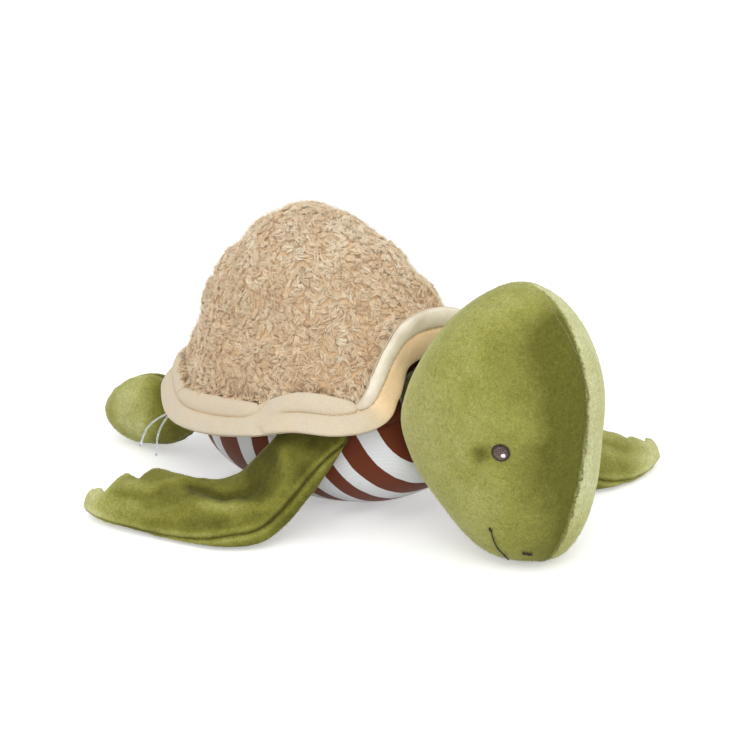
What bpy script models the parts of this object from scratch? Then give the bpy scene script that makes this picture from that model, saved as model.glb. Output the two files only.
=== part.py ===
"""Plush sea turtle lying on its belly, in metres, +Z up.

The origin is on the floor, on the belly's flat rest face, in the middle plane.
The turtle looks along -Y and its own left side is +X.
Every sewn part is a closed form made of two cloth panels that meet in a seam,
round a separate filling. The domed shell sits on the back inside a padded rim,
the head turns on a stuffed neck, and each limb hinges on the seam at its root.
"""

import math

import bmesh
import bpy
from mathutils import Matrix, Vector

# Cloth, seams and clearances
GAP = 0.0003
VELOUR = 0.0014
JERSEY = 0.0012
PILE_BACKING = 0.0036
REST_DEPTH = 0.0005
OVERRUN = 0.0200

# Torso: the pod between the neck and the hind legs
TORSO_REAR = 0.1000
TORSO_FRONT = 0.0850
TORSO_HALF_WIDTH = 0.0665
TORSO_HALF_HEIGHT = 0.0540
TORSO_MID_HEIGHT = 0.0505
TORSO_LEAN = math.radians(24)

# Neck: a stuffed ball that the head and the torso are both hollowed for
NECK_RADIUS = 0.0235
NECK_FORWARD = 0.0900
NECK_HEIGHT = 0.0790
NECK_BAND_HALF_ANGLE = math.radians(45)
NECK_PLAY = 0.0007

# Head: an egg that stands on its snout, with a seam ridge down the middle
HEAD_HEIGHT = 0.1610
HEAD_HALF_WIDTH = 0.0550
HEAD_FRONT_DEPTH = 0.0665
HEAD_BACK_DEPTH = 0.0530
HEAD_PAST_NECK = 0.0465
HEAD_LEAN = 0.0220
EYE_RADIUS = 0.0051
EYE_PROUD = 0.0011
EYE_HEIGHT = 0.0770
EYE_FORWARD_SHARE = 0.605

# Shell: the pile dome and the place where its foot runs round the back
SHELL_APEX_HEIGHT = 0.1790
SHELL_APEX_BACK = 0.0230
SHELL_HALF_WIDTH = 0.0780
SHELL_FRONT = 0.0840
SHELL_REAR = 0.1140
SHELL_FOOT_HEIGHT = 0.0600
SHELL_ARCH_RISE = 0.0610
SHELL_INSIDE_RIM = 0.0042
SHELL_TUFT_PITCH = 0.0190
SHELL_TUFT_RISE = 0.0012

# Rim: a padded velour border in petals, topstitched along its middle
RIM_UPPER_WIDTH = 0.0145
RIM_LOWER_WIDTH = 0.0145
RIM_FLARE = 0.0100
RIM_PUFF = 0.0046
RIM_LINING_PUFF = 0.0026
RIM_PETAL_DIP = 0.0095
RIM_SEAM = 0.0011

# Front flippers
FLIPPER_SPREAD = 0.1500
FLIPPER_REACH = 0.0750
FLIPPER_ROOT_HEIGHT = 0.0580
FLIPPER_HALF_THICKNESS = 0.0105

# Hind feet
FOOT_OUT = 0.0400
FOOT_REAR = 0.1740
FOOT_HEIGHT = 0.0560
FOOT_HALF_THICKNESS = 0.0170

# Clear fastener strands that hang from the rim
STRAND_RADIUS = 0.0005
STRAND_HEAD_RADIUS = 0.0012
STRAND_FRONT_DROP = 0.0260
STRAND_FRONT_REACH = 0.0100
STRAND_REAR_DROP = 0.0210
STRAND_REAR_REACH = 0.0190
STRAND_PITCH = 0.0036
STRAND_PLACE = 9.4
STRAND_LEAN_SHARE = 0.45

# Facets
BODY_HALF_LOOP_STEPS = 8
LIMB_HALF_LOOP_STEPS = 5
STEPS_PER_ROW = 2
SHELL_STEPS_PER_PLACE = 2
SHELL_STEPS_PER_SIDE_ROW = 2
RIM_STEPS_PER_PLACE = 2
TURNED_STEPS = 20
BAND_STEPS = 6
STRAND_SIDES = 2
MERGE = 0.00005

# Share tables. Each row is a place along a form, from its first end to its last.
# Torso rows: along, centre height, half width, half height, lean back at the top.
# Along is -1 at the neck and 1 over the hind legs.
TORSO_ROW_SHARES = (
    (-0.985, 1.39, 0.42, 0.50, 1.0),
    (-0.945, 1.37, 0.60, 0.71, 1.0),
    (-0.80, 1.29, 0.76, 0.86, 0.9),
    (-0.60, 1.17, 0.88, 0.945, 0.62),
    (-0.30, 1.07, 0.965, 0.985, 0.3),
    (0.06, 1.00, 1.00, 0.944, 0.0),
    (0.40, 0.95, 0.93, 0.893, 0.0),
    (0.68, 0.90, 0.77, 0.73, 0.0),
    (0.86, 0.88, 0.54, 0.51, 0.0),
    (0.96, 0.875, 0.27, 0.25, 0.0),
)
# Head rows: height, lean, half width, front depth, back depth, fullness at the back
HEAD_ROW_SHARES = (
    (0.006, 1.00, 0.20, 0.22, 0.16, 0.00),
    (0.030, 0.95, 0.44, 0.39, 0.34, 0.05),
    (0.090, 0.77, 0.63, 0.565, 0.50, 0.15),
    (0.19, 0.50, 0.78, 0.755, 0.69, 0.35),
    (0.31, 0.18, 0.90, 0.915, 0.86, 0.55),
    (0.46, 0.00, 0.985, 0.99, 1.00, 0.50),
    (0.59, 0.00, 1.00, 1.00, 0.98, 0.12),
    (0.71, 0.10, 0.94, 0.91, 0.85, 0.00),
    (0.83, 0.28, 0.79, 0.70, 0.66, 0.00),
    (0.92, 0.46, 0.56, 0.45, 0.46, 0.00),
    (0.98, 0.57, 0.28, 0.20, 0.24, 0.00),
)
HEAD_RIDGE_POWER = 1.80
ROUND_POWER = 2.0
FULL_POWER = 2.3
# Shell foot, right side, from the front of the arch to the rear: out, along, rise.
# Along runs from -1 at the front to 1 at the rear.
SHELL_FOOT_SHARES = (
    (0.0, -0.93, 0.93),
    (0.256, -0.95, 0.89),
    (0.423, -0.98, 0.755),
    (0.54, -0.99, 0.557),
    (0.667, -0.975, 0.377),
    (0.833, -0.835, 0.311),
    (0.95, -0.535, 0.279),
    (1.0, -0.19, 0.131),
    (1.0, 0.175, 0.0),
    (0.95, 0.47, -0.05),
    (0.758, 0.72, -0.01),
    (0.47, 0.92, 0.075),
    (0.0, 0.985, 0.10),
)
# Shell side, from the foot to the apex: height, spread at the back, at the front
SHELL_SIDE_SHARES = (
    (0.0, 1.0, 1.0),
    (0.12, 0.955, 0.925),
    (0.27, 0.895, 0.835),
    (0.42, 0.82, 0.74),
    (0.57, 0.73, 0.64),
    (0.71, 0.61, 0.52),
    (0.83, 0.46, 0.385),
    (0.93, 0.29, 0.24),
    (0.985, 0.13, 0.11),
)
# How far up the dome the pile's tufts begin, clear of the rim
SHELL_TUFT_START_SHARE = 0.12
# Where one petal of the rim meets the next, counted in shell foot places, and how
# much of the petals' dip is made up for there
RIM_NOTCH_PLACES = (4.4, 7.0, 9.5)
RIM_NOTCH_SHARES = (0.0, 0.36, 0.36)
# How much of each width is left along the sides, where the rim flares most
RIM_SIDE_UPPER_SHARE = 0.77
RIM_SIDE_LOWER_SHARE = 0.66
# Flipper rows: the leading edge, the trailing edge, each out, along and up, then
# half thickness. Out follows the spread, along the reach, up the root height.
FLIPPER_SWEPT_SHARES = (
    ((0.379, -0.95, 1.12), (0.452, -0.30, 1.00), 0.15),
    ((0.407, -0.93, 0.98), (0.474, -0.27, 0.92), 0.55),
    ((0.495, -0.81, 0.60), (0.52, -0.20, 0.74), 0.95),
    ((0.60, -0.69, 0.24), (0.57, -0.10, 0.57), 1.05),
    ((0.715, -0.61, 0.085), (0.63, -0.03, 0.52), 1.00),
    ((0.825, -0.41, 0.06), (0.675, 0.12, 0.49), 0.90),
    ((0.905, -0.05, 0.06), (0.695, 0.37, 0.48), 0.80),
    ((0.955, 0.28, 0.07), (0.705, 0.58, 0.47), 0.74),
    ((0.972, 0.406, 0.072), (0.730, 0.631, 0.440), 0.72),
    ((0.983, 0.496, 0.073), (0.776, 0.643, 0.378), 0.66),
    ((0.994, 0.603, 0.077), (0.777, 0.723, 0.386), 0.66),
    ((0.999, 0.679, 0.081), (0.787, 0.812, 0.381), 0.61),
    ((1.000, 0.729, 0.084), (0.888, 0.809, 0.243), 0.53),
    ((0.997, 0.788, 0.089), (0.880, 0.880, 0.257), 0.50),
    ((0.990, 0.847, 0.096), (0.893, 0.939, 0.239), 0.42),
    ((0.985, 0.880, 0.100), (0.904, 0.974, 0.225), 0.34),
)
FLIPPER_FORWARD_SHARES = (
    ((0.378, -0.95, 1.12), (0.450, -0.30, 1.00), 0.15),
    ((0.403, -0.97, 0.96), (0.475, -0.33, 0.92), 0.55),
    ((0.50, -1.14, 0.58), (0.54, -0.54, 0.76), 0.95),
    ((0.56, -1.38, 0.28), (0.63, -0.82, 0.58), 1.05),
    ((0.62, -1.62, 0.09), (0.73, -1.09, 0.51), 1.00),
    ((0.72, -1.76, 0.06), (0.84, -1.22, 0.46), 0.90),
    ((0.85, -1.81, 0.06), (0.96, -1.27, 0.40), 0.80),
    ((0.957, -1.804, 0.059), (1.019, -1.360, 0.347), 0.75),
    ((1.004, -1.795, 0.062), (1.046, -1.425, 0.297), 0.67),
    ((1.055, -1.778, 0.068), (1.092, -1.430, 0.269), 0.68),
    ((1.115, -1.737, 0.080), (1.141, -1.501, 0.219), 0.54),
    ((1.147, -1.690, 0.092), (1.171, -1.487, 0.228), 0.44),
    ((1.165, -1.650, 0.100), (1.184, -1.498, 0.233), 0.34),
)
# Foot rows: the top seam, the bottom seam, then half thickness
FOOT_SHARES = (
    ((0.95, 0.497, 0.80), (0.95, 0.481, 0.44), 0.10),
    ((0.95, 0.540, 0.82), (0.95, 0.528, 0.36), 0.38),
    ((0.94, 0.612, 0.86), (0.94, 0.605, 0.20), 0.72),
    ((0.93, 0.700, 0.94), (0.93, 0.690, 0.10), 0.94),
    ((0.97, 0.800, 0.92), (0.96, 0.800, 0.04), 1.00),
    ((1.01, 0.890, 0.79), (1.00, 0.890, 0.05), 0.94),
    ((1.05, 0.955, 0.65), (1.04, 0.955, 0.15), 0.70),
    ((1.07, 0.990, 0.51), (1.065, 0.990, 0.30), 0.36),
)
# Rim rows across the band, from its upper edge to its lower: out, up, face puff,
# lining puff
RIM_ROW_SHARES = (
    (-0.42, 0.97, 0.20, 0.20),
    (-0.24, 0.70, 0.88, 0.75),
    (-0.10, 0.36, 0.92, 1.00),
    (0.02, 0.00, 0.26, 0.85),
    (0.26, -0.33, 0.92, 1.00),
    (0.58, -0.68, 0.95, 0.85),
    (0.88, -0.95, 0.30, 0.25),
)
# Strand rows: out, down, and whether the strand's head is here
STRAND_ROW_SHARES = (
    (0.0, 0.0, False),
    (0.16, 0.10, False),
    (0.34, 0.24, False),
    (0.52, 0.42, False),
    (0.70, 0.62, False),
    (0.86, 0.84, False),
    (0.93, 0.95, True),
    (1.0, 1.0, True),
)

GREEN = (0.190, 0.235, 0.045)
GREEN_LIGHT = (0.270, 0.310, 0.090)
CREAM = (0.760, 0.660, 0.500)
SAND = (0.480, 0.350, 0.210)
STRIPE_BROWN = (0.150, 0.045, 0.015)
POLYESTER = (0.860, 0.860, 0.840)
EYE_THREAD = (0.030, 0.015, 0.010)
CLEAR = (0.800, 0.820, 0.840)


def clear_scene():
    for obj in list(bpy.data.objects):
        bpy.data.objects.remove(obj, do_unlink=True)


def make_collection(name):
    collection = bpy.data.collections.new(name)
    bpy.context.scene.collection.children.link(collection)
    return collection


def make_material(name, colour, roughness):
    material = bpy.data.materials.new(name)
    material.use_nodes = True
    shader = material.node_tree.nodes["Principled BSDF"]
    shader.inputs["Base Color"].default_value = (*colour, 1.0)
    shader.inputs["Roughness"].default_value = roughness
    shader.inputs["Metallic"].default_value = 0.0
    return material


def smooth_rows(rows, steps, closed=False):
    """Rows read off a Catmull-Rom curve through the given rows of numbers."""
    count = len(rows)
    spans = count if closed else count - 1
    found = []
    for span in range(spans):
        if closed:
            four = [rows[(span + k) % count] for k in (-1, 0, 1, 2)]
        else:
            four = [rows[min(max(span + k, 0), count - 1)] for k in (-1, 0, 1, 2)]
        for step in range(steps):
            t = step / steps
            weights = (
                -0.5 * t + t**2 - 0.5 * t**3,
                1.0 - 2.5 * t**2 + 1.5 * t**3,
                0.5 * t + 2.0 * t**2 - 1.5 * t**3,
                -0.5 * t**2 + 0.5 * t**3,
            )
            found.append(
                tuple(
                    sum(w * row[i] for w, row in zip(weights, four))
                    for i in range(len(rows[0]))
                )
            )
    if not closed:
        found.append(tuple(rows[-1]))
    return found


class Section:
    """One ring of a form: its centre, its two directions and its four half sizes."""

    def __init__(self, centre, across, up, ahead, behind, above, below, powers):
        self.centre = Vector(centre)
        self.across = Vector(across)
        self.up = Vector(up)
        self.ahead = ahead
        self.behind = behind
        self.above = above
        self.below = below
        self.powers = powers

    def place(self, angle, inset, lift):
        """The point at this angle, from 0 ahead through half a turn above."""
        cosine = math.cos(angle)
        sine = math.sin(angle)
        power = self.powers[0] if cosine > 0 else self.powers[1]
        wide = self.ahead if cosine > 0 else self.behind
        tall = self.above if sine > 0 else self.below
        wide = wide * wide / (wide + inset)
        tall = tall * tall / (tall + inset)
        x = math.copysign(abs(cosine) ** (2 / power), cosine) * wide
        y = math.copysign(abs(sine) ** (2 / power), sine) * tall
        return self.centre + self.across * x + self.up * (y + lift)


class Form:
    """A swelling, tapering body through sections, closed at both ends by poles."""

    def __init__(self, sections, first_pole, last_pole, steps):
        self.sections = sections
        self.steps = steps
        self.first_pole = Vector(first_pole)
        self.last_pole = Vector(last_pole)

    def ring(self, index, angles, inset, lift):
        """A ring drawn in towards the middle of the form by the inset."""
        section = self.sections[index]
        middle = self.sections[len(self.sections) // 2].centre
        pull = middle - section.centre
        near_end = min(index, len(self.sections) - 1 - index)
        shift = pull.normalized() * (inset / (1 + near_end))
        return [section.place(a, inset, lift) + shift for a in angles]

    def pole(self, last, inset, lift):
        section = self.sections[-1 if last else 0]
        pole = self.last_pole if last else self.first_pole
        middle = self.sections[len(self.sections) // 2].centre
        pull = (middle - section.centre).normalized()
        return pole + pull * inset + section.up * lift


def new_object(name, mesh_builder, material, collection):
    mesh = bpy.data.meshes.new(name)
    builder = bmesh.new()
    mesh_builder(builder)
    bmesh.ops.recalc_face_normals(builder, faces=builder.faces)
    builder.to_mesh(mesh)
    builder.free()
    obj = bpy.data.objects.new(name, mesh)
    if material:
        mesh.materials.append(material)
    collection.objects.link(obj)
    mesh.shade_smooth()
    mesh.set_sharp_from_angle(angle=math.radians(50))
    return obj


def bridge(builder, first, second, closed):
    """Quads between two rows of vertices of one length."""
    count = len(first)
    for i in range(count if closed else count - 1):
        j = (i + 1) % count
        builder.faces.new((first[i], first[j], second[j], second[i]))


def fill_filling(form, inset):
    """A builder of the whole form, drawn in by the inset."""

    def build(builder):
        count = 2 * form.steps
        angles = [2 * math.pi * k / count for k in range(count)]
        rings = []
        for index in range(len(form.sections)):
            places = form.ring(index, angles, inset, 0)
            rings.append([builder.verts.new(p) for p in places])
        for first, second in zip(rings, rings[1:]):
            bridge(builder, first, second, True)
        for ring, last in ((rings[0], False), (rings[-1], True)):
            pole = builder.verts.new(form.pole(last, inset, 0))
            for i in range(count):
                builder.faces.new((ring[i], ring[(i + 1) % count], pole))

    return build


def fill_panel(form, cloth, side):
    """A builder of one cloth panel: the half of the form on this side of its seam."""

    def build(builder):
        start = 0 if side > 0 else math.pi
        angles = [start + math.pi * k / form.steps for k in range(form.steps + 1)]
        lift = side * GAP / 2
        outer = []
        inner = []
        for index in range(len(form.sections)):
            for rows, inset in ((outer, 0), (inner, cloth)):
                places = form.ring(index, angles, inset, lift)
                rows.append([builder.verts.new(p) for p in places])
        for rows in (outer, inner):
            for first, second in zip(rows, rows[1:]):
                bridge(builder, first, second, False)
        for rows, last, inset in (
            (outer, False, 0),
            (outer, True, 0),
            (inner, False, cloth),
            (inner, True, cloth),
        ):
            ring = rows[-1 if last else 0]
            pole = builder.verts.new(form.pole(last, inset, lift))
            for i in range(form.steps):
                builder.faces.new((ring[i], ring[i + 1], pole))
            ring.append(pole)
        for end in (0, form.steps):
            far = [rows[end] for rows in outer]
            near = [rows[end] for rows in inner]
            bridge(builder, far, near, False)
        for index in (0, -1):
            loop_far = (outer[index][0], outer[index][-1], outer[index][-2])
            loop_near = (inner[index][0], inner[index][-1], inner[index][-2])
            bridge(builder, loop_far, loop_near, False)

    return build


def torso_form():
    sections = []
    for along, rise, width, height, lean in smooth_rows(TORSO_ROW_SHARES, STEPS_PER_ROW):
        reach = TORSO_FRONT if along < 0 else TORSO_REAR
        centre = Vector((0, along * reach, rise * TORSO_MID_HEIGHT))
        angle = lean * TORSO_LEAN
        up = Vector((0, math.sin(angle), math.cos(angle)))
        half_width = width * TORSO_HALF_WIDTH
        half_height = height * TORSO_HALF_HEIGHT
        sections.append(
            Section(
                centre,
                (1, 0, 0),
                up,
                half_width,
                half_width,
                half_height,
                half_height,
                (FULL_POWER, FULL_POWER),
            )
        )
    front = sections[0].centre
    first = Vector((0, -TORSO_FRONT, front.z))
    last = Vector((0, TORSO_REAR, sections[-1].centre.z))
    return Form(sections, first, last, BODY_HALF_LOOP_STEPS)


def head_form():
    sections = []
    for row in smooth_rows(HEAD_ROW_SHARES, STEPS_PER_ROW):
        height, lean, width, front, back, fullness = row
        centre = (0, -NECK_FORWARD - HEAD_PAST_NECK - lean * HEAD_LEAN, height * HEAD_HEIGHT)
        half_width = width * HEAD_HALF_WIDTH
        sections.append(
            Section(
                centre,
                (0, -1, 0),
                (1, 0, 0),
                front * HEAD_FRONT_DEPTH,
                back * HEAD_BACK_DEPTH,
                half_width,
                half_width,
                (HEAD_RIDGE_POWER, ROUND_POWER + fullness),
            )
        )
    top = Vector((0, sections[-1].centre.y, HEAD_HEIGHT))
    low = Vector((0, sections[0].centre.y, REST_DEPTH / 2))
    return Form(sections, low, top, BODY_HALF_LOOP_STEPS)


def limb_form(table, spread, reach, rise, half_thickness, side):
    """A limb between its two seam edges, on the right where side is -1."""
    flat = [(*lead, *trail, thick) for lead, trail, thick in table]
    rows = smooth_rows(flat, STEPS_PER_ROW)
    scale = Vector((side * spread, reach, rise))
    leads = [Vector(row[0:3]) * scale for row in rows]
    trails = [Vector(row[3:6]) * scale for row in rows]
    centres = [(a + b) / 2 for a, b in zip(leads, trails)]
    sections = []
    for index, row in enumerate(rows):
        before = centres[max(index - 1, 0)]
        after = centres[min(index + 1, len(rows) - 1)]
        along = (after - before).normalized()
        span = leads[index] - trails[index]
        across = span.normalized()
        up = across.cross(along).normalized()
        if up.dot(Vector((side, 0, 1))) < 0:
            up.negate()
        thick = row[6] * half_thickness
        half = span.length / 2
        powers = (ROUND_POWER, ROUND_POWER)
        sections.append(Section(centres[index], across, up, half, half, thick, thick, powers))
    last = centres[-1] + (centres[-1] - centres[-2]) * 0.5
    return Form(sections, centres[0], last, LIMB_HALF_LOOP_STEPS)


def add_sewn_pair(names, form, cloth, materials, collection):
    """Two panels and the filling between them."""
    above, below, filling = names
    return [
        new_object(above, fill_panel(form, cloth, 1), materials[0], collection),
        new_object(below, fill_panel(form, cloth, -1), materials[1], collection),
        new_object(filling, fill_filling(form, cloth + 2 * GAP), materials[2], collection),
    ]


def add_pivot(name, place, collection):
    """An empty on a joint's axis."""
    pivot = bpy.data.objects.new(name, None)
    pivot.empty_display_size = NECK_RADIUS / 4
    pivot.location = place
    collection.objects.link(pivot)
    return pivot


def carry(pivot, objects, parent=None):
    """Parents the objects to the pivot where they are, and the pivot to its own parent."""
    bpy.context.view_layer.update()
    for obj in objects:
        obj.parent = pivot
        obj.matrix_parent_inverse = pivot.matrix_world.inverted()
    if parent:
        pivot.parent = parent
        pivot.matrix_parent_inverse = parent.matrix_world.inverted()


def cut(obj, cutter):
    modifier = obj.modifiers.new("cut_" + cutter.name, "BOOLEAN")
    modifier.operation = "DIFFERENCE"
    modifier.object = cutter
    modifier.solver = "EXACT"


def as_cutter(obj):
    obj.hide_render = True
    obj.display_type = "WIRE"
    return obj


def fill_floor_block(builder):
    """A block under the floor plane, wide enough for the whole belly."""
    side = 2 * (TORSO_REAR + TORSO_FRONT)
    size = Matrix.Diagonal((side, side, OVERRUN, 1))
    place = Matrix.Translation((0, 0, -OVERRUN / 2))
    bmesh.ops.create_cube(builder, size=1, matrix=place @ size)


def turned_object(name, profile, place, material, collection):
    """A profile of radius and height pairs, turned about the place's own Z."""
    mesh = bpy.data.meshes.new(name)
    points = [(radius, 0, height) for radius, height in profile]
    closed = profile[0][0] > MERGE
    edges = [(i, i + 1) for i in range(len(points) - 1)]
    if closed:
        edges.append((len(points) - 1, 0))
    mesh.from_pydata(points, edges, [])
    obj = bpy.data.objects.new(name, mesh)
    if material:
        mesh.materials.append(material)
    obj.matrix_world = place
    collection.objects.link(obj)
    screw = obj.modifiers.new("turn", "SCREW")
    screw.axis = "Z"
    screw.steps = TURNED_STEPS
    screw.render_steps = TURNED_STEPS
    screw.use_merge_vertices = True
    screw.merge_threshold = MERGE
    screw.use_smooth_shade = True
    return obj


def ball_profile(radius, half_angle, steps):
    """Radius and height pairs down a ball, as far as this angle from its equator."""
    turns = [half_angle * (1 - 2 * step / steps) for step in range(steps + 1)]
    return [(radius * math.cos(turn), radius * math.sin(turn)) for turn in turns]


def turned_ball(name, radius, centre, material, collection):
    place = Matrix.Translation(centre) @ Matrix.Rotation(math.pi / 2, 4, "X")
    profile = ball_profile(radius, math.pi / 2, 2 * BAND_STEPS)
    return turned_object(name, profile, place, material, collection)


def add_neck(centre, materials, collection):
    """A band of velour round a stuffed ball, open towards the head and the torso."""
    velour, polyester = materials
    outer = ball_profile(NECK_RADIUS, NECK_BAND_HALF_ANGLE, BAND_STEPS)
    inner = ball_profile(NECK_RADIUS - VELOUR, NECK_BAND_HALF_ANGLE, BAND_STEPS)
    place = Matrix.Translation(centre) @ Matrix.Rotation(math.pi / 2, 4, "X")
    band = turned_object("neck_cover", outer + inner[::-1], place, velour, collection)
    core = NECK_RADIUS - VELOUR - GAP
    filling = turned_ball("neck_stuffing", core, centre, polyester, collection)
    return [band, filling]


def head_facet(form, height, turn, side):
    """A point on the flat patch of the head's skin at this height and turn, and its normal."""
    step = math.pi / form.steps
    first = math.floor(turn / step)
    low = max(i for i, row in enumerate(form.sections) if row.centre.z <= height)
    corners = [
        form.sections[i].place(side * k * step, 0, side * GAP / 2)
        for i, k in ((low, first), (low, first + 1), (low + 1, first + 1), (low + 1, first))
    ]
    across = turn / step - first
    rise = (height - corners[0].z) / (corners[3].z - corners[0].z)
    near = corners[0].lerp(corners[1], across)
    far = corners[3].lerp(corners[2], across)
    out = (corners[2] - corners[0]).cross(corners[3] - corners[1]).normalized()
    if out.x * side < 0:
        out.negate()
    return near.lerp(far, rise), out


def add_eye(name, form, side, material, collection):
    """A low embroidered disc that lies on the side of the head."""
    here, out = head_facet(form, EYE_HEIGHT, math.acos(EYE_FORWARD_SHARE), side)
    turn = out.to_track_quat("Z", "Y").to_matrix().to_4x4()
    place = Matrix.Translation(here + out * GAP) @ turn
    profile = [
        (0, EYE_PROUD),
        (EYE_RADIUS * 0.55, EYE_PROUD * 0.93),
        (EYE_RADIUS * 0.86, EYE_PROUD * 0.68),
        (EYE_RADIUS, EYE_PROUD * 0.30),
        (EYE_RADIUS, 0),
        (0, 0),
    ]
    return turned_object(name, profile, place, material, collection)


def shell_foot(steps):
    """The closed line where the shell meets the back: place, outward, upward, turn."""
    half = [
        (
            -out * SHELL_HALF_WIDTH,
            along * (SHELL_FRONT if along < 0 else SHELL_REAR),
            SHELL_FOOT_HEIGHT + rise * SHELL_ARCH_RISE,
        )
        for out, along, rise in SHELL_FOOT_SHARES
    ]
    mirrored = [(-x, y, z) for x, y, z in half[-2:0:-1]]
    places = [Vector(p) for p in smooth_rows(half + mirrored, steps, True)]
    count = len(places)
    found = []
    for i, place in enumerate(places):
        onward = places[(i + 1) % count] - places[i - 1]
        flat = Vector((onward.x, onward.y, 0)).normalized()
        out = Vector((flat.y, -flat.x, 0))
        if out.dot(place - Vector((0, SHELL_APEX_BACK, place.z))) < 0:
            out.negate()
        up = onward.normalized().cross(out)
        found.append((place, out, up, min(i, count - i) / steps))
    return found


def tuft_rise(point, height):
    """How far the pile stands out here: lumps one pitch apart, none at the foot."""
    x, y, z = (math.pi * place / SHELL_TUFT_PITCH for place in point)
    waves = math.sin(x) * math.cos(y) + math.sin(y) * math.cos(z) + math.sin(z) * math.cos(x)
    return SHELL_TUFT_RISE * waves * min(max(height / SHELL_TUFT_START_SHARE - 1, 0), 1)


def shell_rings(inset, steps, tufted):
    """Rings up the dome, drawn in by the inset, from the foot to under the apex."""
    apex = Vector((0, SHELL_APEX_BACK, SHELL_APEX_HEIGHT - inset))
    middle = Vector((0, SHELL_APEX_BACK, SHELL_FOOT_HEIGHT))
    rings = []
    for height, back, front in smooth_rows(SHELL_SIDE_SHARES, steps):
        ring = []
        for place, out, _, _ in shell_foot(SHELL_STEPS_PER_PLACE):
            ahead = max(0.0, (apex.y - place.y) / (apex.y + SHELL_FRONT))
            spread = back + (front - back) * ahead
            foot = place - out * (SHELL_INSIDE_RIM + inset)
            point = Vector(
                (
                    apex.x + (foot.x - apex.x) * spread,
                    apex.y + (foot.y - apex.y) * spread,
                    foot.z + (apex.z - foot.z) * height,
                )
            )
            if tufted:
                point += (point - middle).normalized() * tuft_rise(point, height)
            ring.append(point)
        rings.append(ring)
    return rings, apex


def dome_surface(builder, inset, steps=1, tufted=False):
    """The dome's rows of vertices, faced up to the apex."""
    rings, apex = shell_rings(inset, steps, tufted)
    rows = [[builder.verts.new(p) for p in ring] for ring in rings]
    for first, second in zip(rows, rows[1:]):
        bridge(builder, first, second, True)
    top = builder.verts.new(apex)
    count = len(rows[-1])
    for i in range(count):
        builder.faces.new((rows[-1][i], rows[-1][(i + 1) % count], top))
    return rows[0]


def fill_shell_fur(builder):
    outer = dome_surface(builder, 0, SHELL_STEPS_PER_SIDE_ROW, True)
    inner = dome_surface(builder, PILE_BACKING)
    bridge(builder, outer, inner, True)


def fill_shell_stuffing(builder):
    foot = dome_surface(builder, PILE_BACKING + 2 * GAP)
    middle = builder.verts.new((0, SHELL_APEX_BACK, TORSO_MID_HEIGHT))
    count = len(foot)
    for i in range(count):
        builder.faces.new((foot[i], foot[(i + 1) % count], middle))


def petal_bulge(turn):
    """1 in the middle of a petal and less at a notch, by the place along the half rim."""
    edges = list(zip(RIM_NOTCH_PLACES, RIM_NOTCH_SHARES))
    edges.insert(0, (-RIM_NOTCH_PLACES[0], RIM_NOTCH_SHARES[0]))
    rear = 2 * (len(SHELL_FOOT_SHARES) - 1) - RIM_NOTCH_PLACES[-1]
    edges.append((rear, RIM_NOTCH_SHARES[-1]))
    for (first, low), (last, high) in zip(edges, edges[1:]):
        if first <= turn <= last:
            along = (turn - first) / (last - first)
            least = low + (high - low) * along
            return least + (1 - least) * math.sin(math.pi * along) ** 0.5
    return 0.0


def rim_section(turn, layer):
    """The face layer or the lining layer as a closed outline of out and up places."""
    down_arch = min(turn / RIM_NOTCH_PLACES[0], 1.0) ** 2
    flare = RIM_FLARE * down_arch
    upper = RIM_UPPER_WIDTH * (1 - (1 - RIM_SIDE_UPPER_SHARE) * down_arch)
    upper -= RIM_PETAL_DIP * (1 - petal_bulge(turn))
    lower = RIM_LOWER_WIDTH * (1 - (1 - RIM_SIDE_LOWER_SHARE) * down_arch)
    line = []
    for out, up, face, lining in RIM_ROW_SHARES:
        width = upper if up > 0 else lower
        line.append((Vector((out * flare, up * width)), face, lining))
    shifted = []
    for index, (point, face, lining) in enumerate(line):
        before = line[max(index - 1, 0)][0]
        after = line[min(index + 1, len(line) - 1)][0]
        run = (after - before).normalized()
        normal = Vector((-run.y, run.x))
        if layer == "face":
            shifted.append((point + normal * (RIM_SEAM / 2), point + normal * (face * RIM_PUFF)))
        else:
            back = point - normal * (RIM_SEAM / 2 + lining * RIM_LINING_PUFF)
            shifted.append((back, point - normal * (RIM_SEAM / 2)))
    return [pair[1] for pair in shifted] + [pair[0] for pair in reversed(shifted)]


def fill_rim(layer):
    def build(builder):
        rings = []
        for place, out, up, turn in shell_foot(RIM_STEPS_PER_PLACE):
            outline = rim_section(turn, layer)
            rings.append([builder.verts.new(place + out * p.x + up * p.y) for p in outline])
        for first, second in zip(rings, rings[1:] + rings[:1]):
            bridge(builder, first, second, True)

    return build


def rim_low_edge(turn):
    """The underside of the rim's lower edge at this place along the right half."""
    places = shell_foot(RIM_STEPS_PER_PLACE)
    place, out, up, found = min(places, key=lambda p: abs(p[3] - turn) + (p[0].x > 0))
    outline = rim_section(found, "lining")
    low = min(outline, key=lambda p: p.y)
    return place + out * low.x + up * low.y, out


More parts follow.
